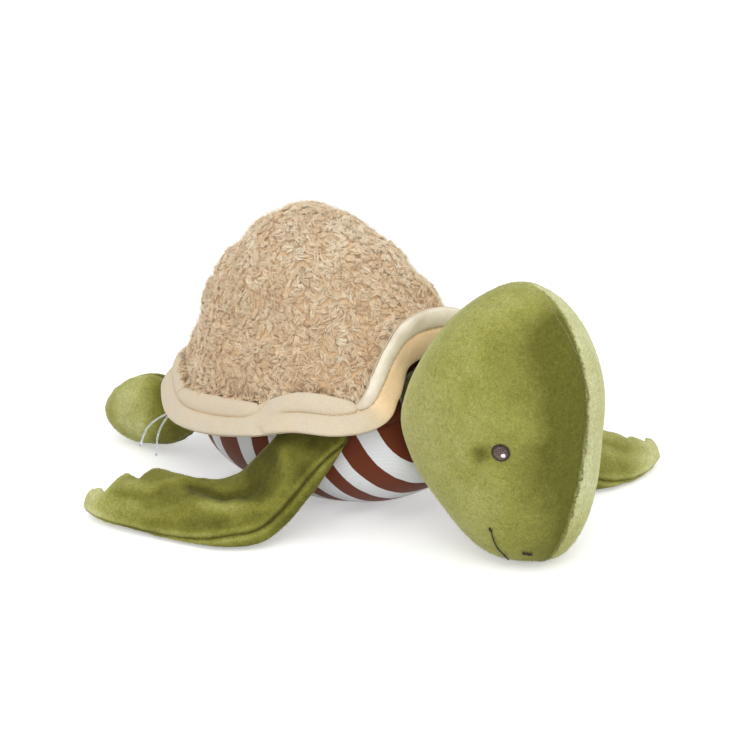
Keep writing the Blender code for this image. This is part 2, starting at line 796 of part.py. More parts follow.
def add_strand(name, shift, drop, reach, material, collection):
    """A clear strand from the rim's edge out and down to its small head."""
    start, out = rim_low_edge(STRAND_PLACE)
    side = out.cross(Vector((0, 0, 1)))
    lean = (out + side * STRAND_LEAN_SHARE).normalized()
    start = start + side * shift - Vector((0, 0, STRAND_RADIUS + GAP))
    curve = bpy.data.curves.new(name, "CURVE")
    curve.dimensions = "3D"
    curve.bevel_depth = STRAND_RADIUS
    curve.bevel_resolution = STRAND_SIDES
    curve.use_fill_caps = True
    spline = curve.splines.new("POLY")
    rows = STRAND_ROW_SHARES
    spline.points.add(len(rows) - 1)
    for point, (along, fall, size) in zip(spline.points, rows):
        place = start + lean * (along * reach) - Vector((0, 0, fall * drop))
        point.co = (*place, 1)
        point.radius = STRAND_HEAD_RADIUS / STRAND_RADIUS if size else 1
    curve.materials.append(material)
    obj = bpy.data.objects.new(name, curve)
    collection.objects.link(obj)
    return obj


def add_limbs(parts, green, polyester):
    for side, where, table in (
        (-1, "right", FLIPPER_SWEPT_SHARES),
        (1, "left", FLIPPER_FORWARD_SHARES),
    ):
        flipper = limb_form(
            table,
            FLIPPER_SPREAD,
            FLIPPER_REACH,
            FLIPPER_ROOT_HEIGHT,
            FLIPPER_HALF_THICKNESS,
            side,
        )
        foot = limb_form(
            FOOT_SHARES, FOOT_OUT, FOOT_REAR, FOOT_HEIGHT, FOOT_HALF_THICKNESS, side
        )
        for form, limb, ends in (
            (flipper, "flipper_" + where, ("_top", "_under", "_stuffing")),
            (foot, "foot_" + where, ("_outer", "_inner", "_stuffing")),
        ):
            names = [limb + end for end in ends]
            made = add_sewn_pair(names, form, VELOUR, (green, green, polyester), parts)
            carry(add_pivot(limb + "_root", form.first_pole, parts), made)


def main():
    clear_scene()
    parts = make_collection("plush_turtle")
    cutters = make_collection("cutters")
    green = make_material("velour_green", GREEN, 0.8)
    light = make_material("velour_green_light", GREEN_LIGHT, 0.8)
    cream = make_material("velour_cream", CREAM, 0.8)
    pile = make_material("curly_pile_sand", SAND, 0.95)
    jersey = make_material("striped_jersey", STRIPE_BROWN, 0.85)
    polyester = make_material("polyester_filling", POLYESTER, 0.9)
    thread = make_material("embroidery_thread", EYE_THREAD, 0.5)
    clear = make_material("clear_nylon", CLEAR, 0.2)

    neck_middle = Vector((0, -NECK_FORWARD, NECK_HEIGHT))
    room = NECK_RADIUS + NECK_PLAY
    neck_room = as_cutter(turned_ball("neck_room", room, neck_middle, None, cutters))
    torso = torso_form()
    torso_room = as_cutter(new_object("torso_room", fill_filling(torso, -2 * GAP), None, cutters))
    floor_block = as_cutter(new_object("floor_block", fill_floor_block, None, cutters))

    names = ("back_cover", "belly_cover", "body_stuffing")
    body = add_sewn_pair(names, torso, JERSEY, (jersey, jersey, polyester), parts)
    for obj in body:
        cut(obj, neck_room)
    cut(body[1], floor_block)

    neck = add_neck(neck_middle, (green, polyester), parts)
    names = ("head_side_left", "head_side_right", "head_stuffing")
    skull = head_form()
    head = add_sewn_pair(names, skull, VELOUR, (light, light, polyester), parts)
    for obj in head:
        cut(obj, neck_room)
    for side, where in ((-1, "right"), (1, "left")):
        head.append(add_eye("eye_" + where, skull, side, thread, parts))
    neck_pivot = add_pivot("neck_pivot", neck_middle, parts)
    head_pivot = add_pivot("head_pivot", neck_middle, parts)
    carry(neck_pivot, neck)
    carry(head_pivot, head, neck_pivot)

    new_object("shell_fur", fill_shell_fur, pile, parts)
    filling = new_object("shell_stuffing", fill_shell_stuffing, polyester, parts)
    cut(filling, torso_room)
    cut(filling, neck_room)
    new_object("rim_top", fill_rim("face"), cream, parts)
    new_object("rim_under", fill_rim("lining"), cream, parts)

    add_limbs(parts, green, polyester)
    strands = [
        add_strand(name, shift, drop, reach, clear, parts)
        for name, shift, drop, reach in (
            ("strand_front", -STRAND_PITCH / 2, STRAND_FRONT_DROP, STRAND_FRONT_REACH),
            ("strand_rear", STRAND_PITCH / 2, STRAND_REAR_DROP, STRAND_REAR_REACH),
        )
    ]
    start, _ = rim_low_edge(STRAND_PLACE)
    carry(add_pivot("strand_root", start, parts), strands)


main()
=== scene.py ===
import math

import bpy
import numpy as np
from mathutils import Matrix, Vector
from mathutils.bvhtree import BVHTree
from mathutils.kdtree import KDTree


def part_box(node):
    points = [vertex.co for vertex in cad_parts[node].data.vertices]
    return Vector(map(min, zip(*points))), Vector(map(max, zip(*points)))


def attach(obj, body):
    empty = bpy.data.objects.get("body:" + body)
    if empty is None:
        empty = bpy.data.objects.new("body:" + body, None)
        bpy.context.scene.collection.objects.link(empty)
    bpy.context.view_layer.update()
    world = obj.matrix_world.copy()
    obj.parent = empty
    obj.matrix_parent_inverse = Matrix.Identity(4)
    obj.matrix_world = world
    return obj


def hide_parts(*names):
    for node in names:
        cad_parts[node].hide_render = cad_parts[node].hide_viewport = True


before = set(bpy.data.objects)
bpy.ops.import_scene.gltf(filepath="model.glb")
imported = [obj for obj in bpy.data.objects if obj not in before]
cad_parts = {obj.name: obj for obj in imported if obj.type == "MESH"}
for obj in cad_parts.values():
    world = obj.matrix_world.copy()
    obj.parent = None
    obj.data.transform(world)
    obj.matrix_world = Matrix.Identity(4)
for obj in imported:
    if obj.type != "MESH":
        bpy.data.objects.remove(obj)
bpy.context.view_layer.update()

# Looks for a plush sea turtle that lies on its belly. It looks along -Y, up is +Z, its own
# left side is +X, and every length is in metres. Each sewn form is two cloth panels round a
# filling, and its surface comes from the same rows as the plain solids, on a finer grid.

MM = 0.001
VELOUR = 1.4 * MM
JERSEY = 1.2 * MM

TORSO_REAR = 0.1000
TORSO_FRONT = 0.0850
TORSO_HALF_WIDTH = 0.0665
TORSO_HALF_HEIGHT = 0.0540
TORSO_MID_HEIGHT = 0.0505
TORSO_LEAN = math.radians(24)
NECK = np.array((0.0, -0.0900, 0.0790))
NECK_RADIUS = 0.0235
NECK_PLAY = 0.0007
HEAD_HEIGHT = 0.1610
HEAD_HALF_WIDTH = 0.0550
HEAD_FRONT_DEPTH = 0.0665
HEAD_BACK_DEPTH = 0.0530
HEAD_FORWARD = 0.1365
HEAD_LEAN = 0.0220
EYE_RADIUS = 0.0051
SHELL_APEX_HEIGHT = 0.1790
SHELL_APEX_BACK = 0.0230
SHELL_HALF_WIDTH = 0.0780
SHELL_FRONT = 0.0840
SHELL_REAR = 0.1140
SHELL_FOOT_HEIGHT = 0.0600
SHELL_ARCH_RISE = 0.0610
SHELL_INSIDE_RIM = 0.0042
TUFT_PITCH = 0.0190
TUFT_RISE = 0.0012
RIM_UPPER_WIDTH = 0.0145
RIM_LOWER_WIDTH = 0.0145
RIM_FLARE = 0.0100
RIM_PUFF = 0.0046
RIM_LINING_PUFF = 0.0026
RIM_PETAL_DIP = 0.0095
RIM_SEAM = 0.0011
FLIPPER_SIZE = (0.1500, 0.0750, 0.0580)
FLIPPER_HALF_THICKNESS = 0.0105
FOOT_SIZE = (0.0400, 0.1740, 0.0560)
FOOT_HALF_THICKNESS = 0.0170

# Along, centre height, half width, half height, lean
TORSO_ROWS = (
    (-0.985, 1.39, 0.42, 0.50, 1.0), (-0.945, 1.37, 0.60, 0.71, 1.0),
    (-0.80, 1.29, 0.76, 0.86, 0.9), (-0.60, 1.17, 0.88, 0.945, 0.62),
    (-0.30, 1.07, 0.965, 0.985, 0.3), (0.06, 1.00, 1.00, 0.944, 0.0),
    (0.40, 0.95, 0.93, 0.893, 0.0), (0.68, 0.90, 0.77, 0.73, 0.0),
    (0.86, 0.88, 0.54, 0.51, 0.0), (0.96, 0.875, 0.27, 0.25, 0.0),
)
# Height, lean, half width, front depth, back depth, fullness at the back
HEAD_ROWS = (
    (0.006, 1.00, 0.20, 0.22, 0.16, 0.00), (0.030, 0.95, 0.44, 0.39, 0.34, 0.05),
    (0.090, 0.77, 0.63, 0.565, 0.50, 0.15), (0.19, 0.50, 0.78, 0.755, 0.69, 0.35),
    (0.31, 0.18, 0.90, 0.915, 0.86, 0.55), (0.46, 0.00, 0.985, 0.99, 1.00, 0.50),
    (0.59, 0.00, 1.00, 1.00, 0.98, 0.12), (0.71, 0.10, 0.94, 0.91, 0.85, 0.00),
    (0.83, 0.28, 0.79, 0.70, 0.66, 0.00), (0.92, 0.46, 0.56, 0.45, 0.46, 0.00),
    (0.98, 0.57, 0.28, 0.20, 0.24, 0.00),
)
# Out, along, rise
SHELL_FOOT_ROWS = (
    (0.0, -0.93, 0.93), (0.256, -0.95, 0.89), (0.423, -0.98, 0.755), (0.54, -0.99, 0.557),
    (0.667, -0.975, 0.377), (0.833, -0.835, 0.311), (0.95, -0.535, 0.279),
    (1.0, -0.19, 0.131), (1.0, 0.175, 0.0), (0.95, 0.47, -0.05), (0.758, 0.72, -0.01),
    (0.47, 0.92, 0.075), (0.0, 0.985, 0.10),
)
# Height, spread at the back, spread at the front
SHELL_SIDE_ROWS = (
    (0.0, 1.0, 1.0), (0.12, 0.955, 0.925), (0.27, 0.895, 0.835), (0.42, 0.82, 0.74),
    (0.57, 0.73, 0.64), (0.71, 0.61, 0.52), (0.83, 0.46, 0.385), (0.93, 0.29, 0.24),
    (0.985, 0.13, 0.11),
)
RIM_NOTCHES = ((4.4, 0.0), (7.0, 0.36), (9.5, 0.36))
RIM_SIDE_UPPER = 0.77
RIM_SIDE_LOWER = 0.66
# Leading seam, trailing seam, each out, along and up, then half thickness
SWEPT_ROWS = (
    (0.379, -0.95, 1.12, 0.452, -0.30, 1.00, 0.15), (0.407, -0.93, 0.98, 0.474, -0.27, 0.92, 0.55),
    (0.495, -0.81, 0.60, 0.52, -0.20, 0.74, 0.95), (0.60, -0.69, 0.24, 0.57, -0.10, 0.57, 1.05),
    (0.715, -0.61, 0.085, 0.63, -0.03, 0.52, 1.00), (0.825, -0.41, 0.06, 0.675, 0.12, 0.49, 0.90),
    (0.905, -0.05, 0.06, 0.695, 0.37, 0.48, 0.80), (0.955, 0.28, 0.07, 0.705, 0.58, 0.47, 0.74),
    (0.972, 0.406, 0.072, 0.730, 0.631, 0.440, 0.72),
    (0.983, 0.496, 0.073, 0.776, 0.643, 0.378, 0.66),
    (0.994, 0.603, 0.077, 0.777, 0.723, 0.386, 0.66),
    (0.999, 0.679, 0.081, 0.787, 0.812, 0.381, 0.61),
    (1.000, 0.729, 0.084, 0.888, 0.809, 0.243, 0.53),
    (0.997, 0.788, 0.089, 0.880, 0.880, 0.257, 0.50),
    (0.990, 0.847, 0.096, 0.893, 0.939, 0.239, 0.42),
    (0.985, 0.880, 0.100, 0.904, 0.974, 0.225, 0.34),
)
FORWARD_ROWS = (
    (0.378, -0.95, 1.12, 0.450, -0.30, 1.00, 0.15), (0.403, -0.97, 0.96, 0.475, -0.33, 0.92, 0.55),
    (0.50, -1.14, 0.58, 0.54, -0.54, 0.76, 0.95), (0.56, -1.38, 0.28, 0.63, -0.82, 0.58, 1.05),
    (0.62, -1.62, 0.09, 0.73, -1.09, 0.51, 1.00), (0.72, -1.76, 0.06, 0.84, -1.22, 0.46, 0.90),
    (0.85, -1.81, 0.06, 0.96, -1.27, 0.40, 0.80),
    (0.957, -1.804, 0.059, 1.019, -1.360, 0.347, 0.75),
    (1.004, -1.795, 0.062, 1.046, -1.425, 0.297, 0.67),
    (1.055, -1.778, 0.068, 1.092, -1.430, 0.269, 0.68),
    (1.115, -1.737, 0.080, 1.141, -1.501, 0.219, 0.54),
    (1.147, -1.690, 0.092, 1.171, -1.487, 0.228, 0.44),
    (1.165, -1.650, 0.100, 1.184, -1.498, 0.233, 0.34),
)
# Top seam, bottom seam, half thickness
FOOT_ROWS = (
    (0.95, 0.497, 0.80, 0.95, 0.481, 0.44, 0.10), (0.95, 0.540, 0.82, 0.95, 0.528, 0.36, 0.38),
    (0.94, 0.612, 0.86, 0.94, 0.605, 0.20, 0.72), (0.93, 0.700, 0.94, 0.93, 0.690, 0.10, 0.94),
    (0.97, 0.800, 0.92, 0.96, 0.800, 0.04, 1.00), (1.01, 0.890, 0.79, 1.00, 0.890, 0.05, 0.94),
    (1.05, 0.955, 0.65, 1.04, 0.955, 0.15, 0.70), (1.07, 0.990, 0.51, 1.065, 0.990, 0.30, 0.36),
)
# Out, up and the lining's puff across the rim
RIM_ROWS = (
    (-0.42, 0.97, 0.20), (-0.24, 0.70, 0.75), (-0.10, 0.36, 1.00), (0.02, 0.00, 0.85),
    (0.26, -0.33, 1.00), (0.58, -0.68, 0.85), (0.88, -0.95, 0.25),
)
# Where the jersey changes between brown and pale, along the torso in metres, from the neck
STRIPE_EDGES = (
    -0.0812, -0.0710, -0.0592, -0.0505, -0.0402, -0.0285, -0.0190, -0.0095, 0.0055, 0.0205,
    0.0430, 0.0570, 0.0690, 0.0830, 0.0950,
)


def lin(*rgb):
    """A colour given in sRGB from 0 to 255, as linear light."""
    return tuple((c / 255 / 12.92) if c <= 10 else ((c / 255 + 0.055) / 1.055) ** 2.4 for c in rgb)


def smooth(rows, steps, closed=False):
    """Rows on a Catmull-Rom curve through the given rows."""
    rows = np.array(rows, float)
    count = len(rows)
    spans = np.arange(count if closed else count - 1)
    t = (np.arange(steps) / steps)[None, :, None]
    weights = (-0.5 * t + t**2 - 0.5 * t**3, 1 - 2.5 * t**2 + 1.5 * t**3,
               0.5 * t + 2 * t**2 - 1.5 * t**3, -0.5 * t**2 + 0.5 * t**3)
    found = 0
    for weight, ahead in zip(weights, (-1, 0, 1, 2)):
        near = (spans + ahead) % count if closed else np.clip(spans + ahead, 0, count - 1)
        found = found + weight * rows[near][:, None, :]
    found = found.reshape(-1, rows.shape[1])
    return found if closed else np.vstack([found, rows[-1:]])


def noise(points, size, seed):
    """Smooth noise from -1 to 1 with lumps of this size."""
    q = np.asarray(points, float) / size + 7.31 * seed + 100.0
    cell = np.floor(q)
    f = q - cell
    f = f * f * (3 - 2 * f)
    cell = cell.astype(np.uint64)
    total = np.zeros(q.shape[:-1])
    primes = np.array((73856093, 19349663, 83492791), np.uint64)
    for corner in range(8):
        bits = np.array((corner & 1, corner >> 1 & 1, corner >> 2 & 1), np.uint64)
        weight = np.prod(np.where(bits.astype(bool), f, 1 - f), axis=-1)
        key = ((cell + bits) * primes).sum(-1) + np.uint64(seed * 7919 + 17)
        key = (key ^ (key >> np.uint64(15))) * np.uint64(2246822519)
        key = (key ^ (key >> np.uint64(13))) * np.uint64(3266489917)
        key = (key ^ (key >> np.uint64(16))) & np.uint64(0xFFFFFF)
        total += weight * (key.astype(float) / 0x7FFFFF - 1)
    return total


def unit(v):
    return v / np.maximum(np.linalg.norm(v, axis=-1, keepdims=True), 1e-12)


def ease(x, low, high):
    t = np.clip((x - low) / (high - low), 0, 1)
    return t * t * (3 - 2 * t)


def bell(distance, width):
    """1 where the distance is 0, falling to nothing at a few widths."""
    return np.exp(-((distance / width) ** 2))


# Meshes

def make_piece(name, points, faces, material, body, slot, replaced=(), values=None, pad=None):
    """A mesh piece from points and arrays of faces, riding on its body."""
    points = np.asarray(points, float).reshape(-1, 3)
    corners = np.concatenate([f.ravel() for f in faces]).astype(np.int32)
    sizes = np.concatenate([np.full(len(f), f.shape[1]) for f in faces])
    starts = np.concatenate([[0], np.cumsum(sizes)[:-1]]).astype(np.int32)
    mesh = bpy.data.meshes.new(name)
    mesh.vertices.add(len(points))
    mesh.vertices.foreach_set("co", points.astype(np.float32).ravel())
    mesh.loops.add(len(corners))
    mesh.loops.foreach_set("vertex_index", corners)
    mesh.polygons.add(len(sizes))
    mesh.polygons.foreach_set("loop_start", starts)
    mesh.update(calc_edges=True)
    mesh.polygons.foreach_set("use_smooth", np.ones(len(sizes), bool))
    for key, value in (values or {}).items():
        attribute = mesh.attributes.new(key, "FLOAT", "POINT")
        attribute.data.foreach_set("value", np.asarray(value, np.float32).ravel())
    mesh.materials.append(material)
    piece = bpy.data.objects.new(name, mesh)
    bpy.context.scene.collection.objects.link(piece)
    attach(piece, body)
    if replaced:
        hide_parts(*replaced)


def grid_faces(rows, columns, wrap=False):
    last = columns if wrap else columns - 1
    i, j = np.meshgrid(np.arange(rows - 1), np.arange(last), indexing="ij")
    k = (j + 1) % columns
    low, high = i * columns, (i + 1) * columns
    return np.stack([low + j, low + k, high + k, high + j], -1).reshape(-1, 4)


def border(rows, columns):
    """The indices round the edge of a grid, in order."""
    top = list(range(columns))
    right = [i * columns + columns - 1 for i in range(1, rows)]
    low = [(rows - 1) * columns + j for j in range(columns - 2, -1, -1)]
    left = [i * columns for i in range(rows - 2, 0, -1)]
    return np.array(top + right + low + left)


def facing_out(points, faces):
    """The faces, turned over if they enclose a negative volume."""
    p = points.reshape(-1, 3)
    volume = 0.0
    for f in faces:
        for k in range(1, f.shape[1] - 1):
            volume += np.einsum("ij,ij->", p[f[:, 0]], np.cross(p[f[:, k]], p[f[:, k + 1]]))
    return [f[:, ::-1] for f in faces] if volume < 0 else faces


def cloth_shell(front, back):
    """Points and faces of a closed sheet between two grids of one size."""
    rows, columns = front.shape[:2]
    count = rows * columns
    face = grid_faces(rows, columns)
    edge = border(rows, columns)
    onward = np.roll(edge, -1)
    sides = np.stack([edge, onward, onward + count, edge + count], -1)
    points = np.concatenate([front.reshape(-1, 3), back.reshape(-1, 3)])
    return points, facing_out(points, [face[:, ::-1], face + count, sides])


def ring_shell(front, back):
    """As cloth_shell, for grids that close on themselves along their rows' axis."""
    rows, columns = front.shape[:2]
    count = rows * columns
    here = np.arange(rows) * columns
    onward = (np.arange(rows) + 1) % rows * columns
    a, b, j = here[:, None], onward[:, None], np.arange(columns - 1)
    sheet = np.stack([a + j, a + j + 1, b + j + 1, b + j], -1).reshape(-1, 4)
    faces = [sheet, (sheet + count)[:, ::-1]]
    for j, turn in ((0, -1), (columns - 1, 1)):
        edge = np.stack([here + j, here + j + count, onward + j + count, onward + j], -1)
        faces.append(edge[:, ::turn])
    points = np.concatenate([front.reshape(-1, 3), back.reshape(-1, 3)])
    return points, facing_out(points, faces)


def closed_rings(rings, first, last):
    """Rings with a pole at each end."""
    rows, columns = rings.shape[:2]
    points = np.concatenate([rings.reshape(-1, 3), [first, last]])
    j = np.arange(columns)
    k = (j + 1) % columns
    low = np.stack([k, j, np.full(columns, rows * columns)], -1)
    high = np.stack([j, k, np.full(columns, rows * columns + 1)], -1)
    high[:, :2] += (rows - 1) * columns
    return points, facing_out(points, [grid_faces(rows, columns, True), low, high])


TUBE_END = 0.6  # how far a tube's ends stand out, in radii


def tube(path, radius, sides):
    """A closed round tube along a path, tapering as the radius says."""
    path = np.asarray(path, float)
    radius = np.broadcast_to(radius, len(path))
    along = unit(np.gradient(path, axis=0))
    side = np.cross(along[0], (0.31, 0.52, 0.79))
    frames = []
    for direction in along:
        side = unit(side - direction * (side @ direction))
        frames.append((side, np.cross(direction, side)))
    turn = 2 * np.pi * np.arange(sides) / sides
    rings = np.stack([p + r * (np.cos(turn)[:, None] * a + np.sin(turn)[:, None] * b)
                      for p, r, (a, b) in zip(path, radius, frames)])
    first = path[0] - along[0] * radius[0] * TUBE_END
    last = path[-1] + along[-1] * radius[-1] * TUBE_END
    return closed_rings(rings, first, last)


def joined(parts):
    """Several (points, faces) as one."""
    points, faces, start = [], [], 0
    for p, f in parts:
        points.append(p)
        faces += [k + start for k in f]
        start += len(p)
    return np.concatenate(points), faces


# Forms

def superellipse(angles, ahead, behind, above, below, front_power, back_power):
    cosine, sine = np.cos(angles), np.sin(angles)
    power = np.where(cosine > 0, front_power[:, None], back_power[:, None])
    wide = np.where(cosine > 0, ahead[:, None], behind[:, None])
    tall = np.where(sine > 0, above[:, None], below[:, None])
    x = np.sign(cosine) * np.abs(cosine) ** (2 / power) * wide
    y = np.sign(sine) * np.abs(sine) ** (2 / power) * tall
    return x, y


CAPS = (0.92, 0.80, 0.64, 0.46, 0.28, 0.12, 0.03)  # sizes of the rings that close a form's end


class Form:
    """A stuffed form: rings of points, closed at both ends, and what the panels need."""

    def __init__(self, centre, across, up, sizes, powers, first, last, half_steps, turned=0.0):
        shares = np.array(CAPS)[:, None]
        rows = len(centre)

        def held(values):
            """The rows' values, with the first and the last held through the end caps."""
            ends = [np.repeat(values[i:i + 1], len(CAPS), 0) for i in (0, rows - 1)]
            return np.vstack([ends[0], values, ends[1]])

        low = first + (centre[:1] - first) * shares[::-1] ** 2
        high = last + (centre[-1:] - last) * shares**2
        self.centre = np.vstack([low, centre, high])
        self.up = held(up)
        self.sizes = np.vstack([sizes[:1] * shares[::-1], sizes, sizes[-1:] * shares])
        turned = held(np.broadcast_to(turned, rows)[:, None])
        self.half = half_steps
        step = np.arange(half_steps) / half_steps
        self.angles = np.concatenate(
            [turned + (np.pi - turned) * step, np.pi + (np.pi + turned) * step], 1)
        powers = held(np.broadcast_to(powers, (rows, 2)))
        x, y = superellipse(self.angles, *self.sizes.T, *powers.T)
        self.rings = (self.centre[:, None] + held(across)[:, None] * x[..., None]
                      + self.up[:, None] * y[..., None])
        self.measure()

    def measure(self):
        """Normals, and each point's distance from the nearest seam."""
        p = self.rings
        onward = np.gradient(p, axis=0)
        around = np.roll(p, -1, 1) - np.roll(p, 1, 1)
        self.normals = unit(np.cross(around, onward))
        middle = p.mean(1, keepdims=True)
        if (self.normals * (p - middle)).sum() < 0:
            self.normals = -self.normals
        steps = np.linalg.norm(np.roll(p, -1, 1) - p, axis=-1)
        half = self.half
        seam = np.zeros(steps.shape)
        for start in (0, half):
            run = np.zeros((len(p), half + 1))
            run[:, 1:] = np.cumsum(steps[:, start:start + half], 1)
            both = np.minimum(run, run[:, -1:] - run)
            seam[:, start:start + half] = both[:, :half]
        self.seam = seam

    def reshape(self, distance, lowest, neck=0):
        """Moves the surface along its normals, dents it at the neck, keeps it off the floor."""
        self.rings = self.rings + self.normals * distance[..., None]
        if neck:
            self.rings = cup(self.rings, neck, NECK_RADIUS + NECK_PLAY)
        self.rings[..., 2] = np.maximum(self.rings[..., 2], lowest)
        self.measure()

    def panel(self, side, values):
        """The grid of one half, its normals, and its values."""
        half = self.half
        columns = np.arange(half + 1) if side > 0 else np.arange(half, 2 * half + 1) % (2 * half)
        lift = side * 0.006 * MM * self.up[:, None]
        return self.rings[:, columns] + lift, self.normals[:, columns], values[:, columns]


def cup(points, direction, radius):
    """Dents the points that lie inside the neck's ball to its surface, along the direction."""
    out = points.copy()
    offset = points - NECK
    away = np.linalg.norm(offset[..., (0, 2)], axis=-1)
    deep = np.sqrt(np.maximum(radius**2 - away**2, 0)) * direction
    inside = (away < radius) & ((offset[..., 1] - deep) * direction < 0)
    out[..., 1] = np.where(inside, NECK[1] + deep, points[..., 1])
    return out


def torso_form():
    rows = smooth(TORSO_ROWS, 8)
    along, rise, width, height, lean = rows.T
    y = along * np.where(along < 0, TORSO_FRONT, TORSO_REAR)
    centre = np.stack([0 * y, y, rise * TORSO_MID_HEIGHT], -1)
    angle = lean * TORSO_LEAN
    up = np.stack([0 * y, np.sin(angle), np.cos(angle)], -1)
    across = np.tile((1.0, 0, 0), (len(rows), 1))
    wide, tall = width * TORSO_HALF_WIDTH, height * TORSO_HALF_HEIGHT
    first = np.array((0, -TORSO_FRONT, centre[0, 2]))
    last = np.array((0, TORSO_REAR, centre[-1, 2]))
    sizes = np.stack([wide, wide, tall, tall], -1)
    return Form(centre, across, up, sizes, (2.3, 2.3), first, last, 56)


def head_form():
    rows = smooth(HEAD_ROWS, 10)
    height, lean, width, front, back, fullness = rows.T
    centre = np.stack([0 * lean, -HEAD_FORWARD - lean * HEAD_LEAN, height * HEAD_HEIGHT], -1)
    wide = width * HEAD_HALF_WIDTH
    sizes = np.stack([front * HEAD_FRONT_DEPTH, back * HEAD_BACK_DEPTH, wide, wide], -1)
    count = len(rows)
    across, up = np.tile((0, -1.0, 0), (count, 1)), np.tile((1.0, 0, 0), (count, 1))
    first = np.array((0, centre[0, 1], 0.25 * MM))
    last = np.array((0, centre[-1, 1], HEAD_HEIGHT))
    powers = np.stack([0 * fullness + 1.8, 2.0 + fullness], -1)
    return Form(centre, across, up, sizes, powers, first, last, 72)


def limb_form(table, size, half_thickness, side, half_steps, turned):
    steps = 8
    rows = smooth(table, steps)
    scale = np.array((side * size[0], size[1], size[2]))
    lead, trail = rows[:, 0:3] * scale, rows[:, 3:6] * scale
    centre = (lead + trail) / 2
    along = np.empty_like(centre)
    along[1:-1] = centre[2:] - centre[:-2]
    along[0], along[-1] = centre[1] - centre[0], centre[-1] - centre[-2]
    along = unit(along)
    across = unit(lead - trail)
    up = unit(np.cross(across, along))
    up = np.where((up @ np.array((side, 0, 1.0)) < 0)[:, None], -up, up)
    half = np.linalg.norm(lead - trail, axis=-1) / 2
    thick = rows[:, 6] * half_thickness
    sizes = np.stack([half, half, thick, thick], -1)
    last = centre[-1] + (centre[-1] - centre[-5]) * 0.5
    place = np.arange(len(rows)) / steps
    turned = turned * ease(place, 0.2, 1.6) * (1 - ease(place, 4.4, 6.5))
    return Form(centre, across, up, sizes, (2.0, 2.0), centre[0], last, half_steps, turned)


# Materials

def shine(roughness, weight, spread, tint, specular):
    """The shader's inputs for cloth whose fibres catch the light at its edges."""
    return {"Roughness": roughness, "Sheen Weight": weight, "Sheen Roughness": spread,
            "Sheen Tint": (*tint, 1), "Specular IOR Level": specular}


def start_material(name, inputs):
    """A material whose shader has these inputs, and its node tree."""
    material = bpy.data.materials.new(name)
    material.use_nodes = True
    tree = material.node_tree
    for key, value in inputs.items():
        tree.nodes["Principled BSDF"].inputs[key].default_value = value
    return material, tree


def finish_material(material, colour, normal=None):
    """The material, once its shader has this colour and relief."""
    tree = material.node_tree
    shader = tree.nodes["Principled BSDF"]
    tree.links.new(colour, shader.inputs["Base Color"])
    if normal:
        tree.links.new(normal, shader.inputs["Normal"])
    return material


def add_node(tree, kind, inputs=None, **settings):
    node = tree.nodes.new("ShaderNode" + kind)
    for key, value in settings.items():
        setattr(node, key, value)
    for key, value in (inputs or {}).items():
        if isinstance(value, bpy.types.NodeSocket):
            tree.links.new(value, node.inputs[key])
        else:
            node.inputs[key].default_value = value
    return node


def add_noise(tree, scale, detail=2.0, roughness=0.5):
    where = add_node(tree, "TexCoord").outputs["Object"]
    inputs = {"Vector": where, "Scale": scale, "Detail": detail, "Roughness": roughness}
    return add_node(tree, "TexNoise", inputs).outputs["Fac"]


def add_math(tree, operation, *values, clamp=False):
    inputs = dict(enumerate(values))
    return add_node(tree, "Math", inputs, operation=operation, use_clamp=clamp).outputs[0]


def add_ramp(tree, factor, stops, constant=False):
    node = add_node(tree, "ValToRGB", {"Fac": factor})
    ramp = node.color_ramp
    if constant:
        ramp.interpolation = "CONSTANT"
    for index, (place, colour) in enumerate(stops):
        element = ramp.elements[index] if index < 2 else ramp.elements.new(place)
        element.position = place
        element.color = (*colour, 1)
    return node.outputs["Color"]


def add_value(tree, name):
    return add_node(tree, "Attribute", attribute_name=name).outputs["Fac"]


def shaded(tree, colour, share, factor, stops):
    """The colour times a ramp, as far as the share says."""
    inputs = {0: share, 6: colour, 7: add_ramp(tree, factor, stops)}
    return add_node(tree, "Mix", inputs, data_type="RGBA", blend_type="MULTIPLY").outputs[2]


def add_bump(tree, height, strength, distance, before=None):
    inputs = {"Height": height, "Strength": strength, "Distance": distance}
    if before:
        inputs["Normal"] = before
    return add_node(tree, "Bump", inputs).outputs["Normal"]


# Four tones from pale painted sheen through the velour's own greens to dark painted shade, and how
# much the random patches change them
HEAD_TONES = (lin(222, 224, 186), lin(188, 188, 126), lin(150, 150, 76), lin(102, 102, 40))
LIMB_TONES = (lin(204, 204, 146), lin(168, 168, 96), lin(128, 127, 54), lin(84, 82, 30))
HEAD_PATCHES = 0.12
LIMB_PATCHES = 0.25
SHEEN_GREEN = lin(220, 222, 182)


def sheen_shade_colour(tree, tones, patch_share):
    """The velour's colour from its value of painted sheen and shade, with random patches."""
    patches = add_noise(tree, 48, 3.0, 0.55)
    spread = add_math(tree, "MULTIPLY_ADD", patches, patch_share * 2, -patch_share)
    nap = add_math(tree, "ADD", add_value(tree, "nap"), spread, clamp=True)
    pale, light, middle, dark = tones
    return add_ramp(tree, nap, ((0.0, pale), (1.0, dark), (0.30, light), (0.64, middle)))


def velour_material(name, tones, patch_share):
    """Short pile: painted sheen and shade with random patches, a fine grain, and a soft shine at
    the edges.
    """
    material, tree = start_material(name, shine(0.85, 0.5, 0.36, SHEEN_GREEN, 0.12))
    colour = sheen_shade_colour(tree, tones, patch_share)
    grain = add_noise(tree, 620, 3.0, 0.65)
    grain.node.inputs["Distortion"].default_value = 1.2
    colour = shaded(tree, colour, 0.9, grain,
                    ((0.32, (0.68, 0.68, 0.64)), (0.68, (1.24, 1.24, 1.22))))
    soft = add_bump(tree, add_noise(tree, 160, 3.0, 0.6), 0.12, 0.8 * MM)
    return finish_material(material, colour, add_bump(tree, grain, 0.22, 0.45 * MM, soft))


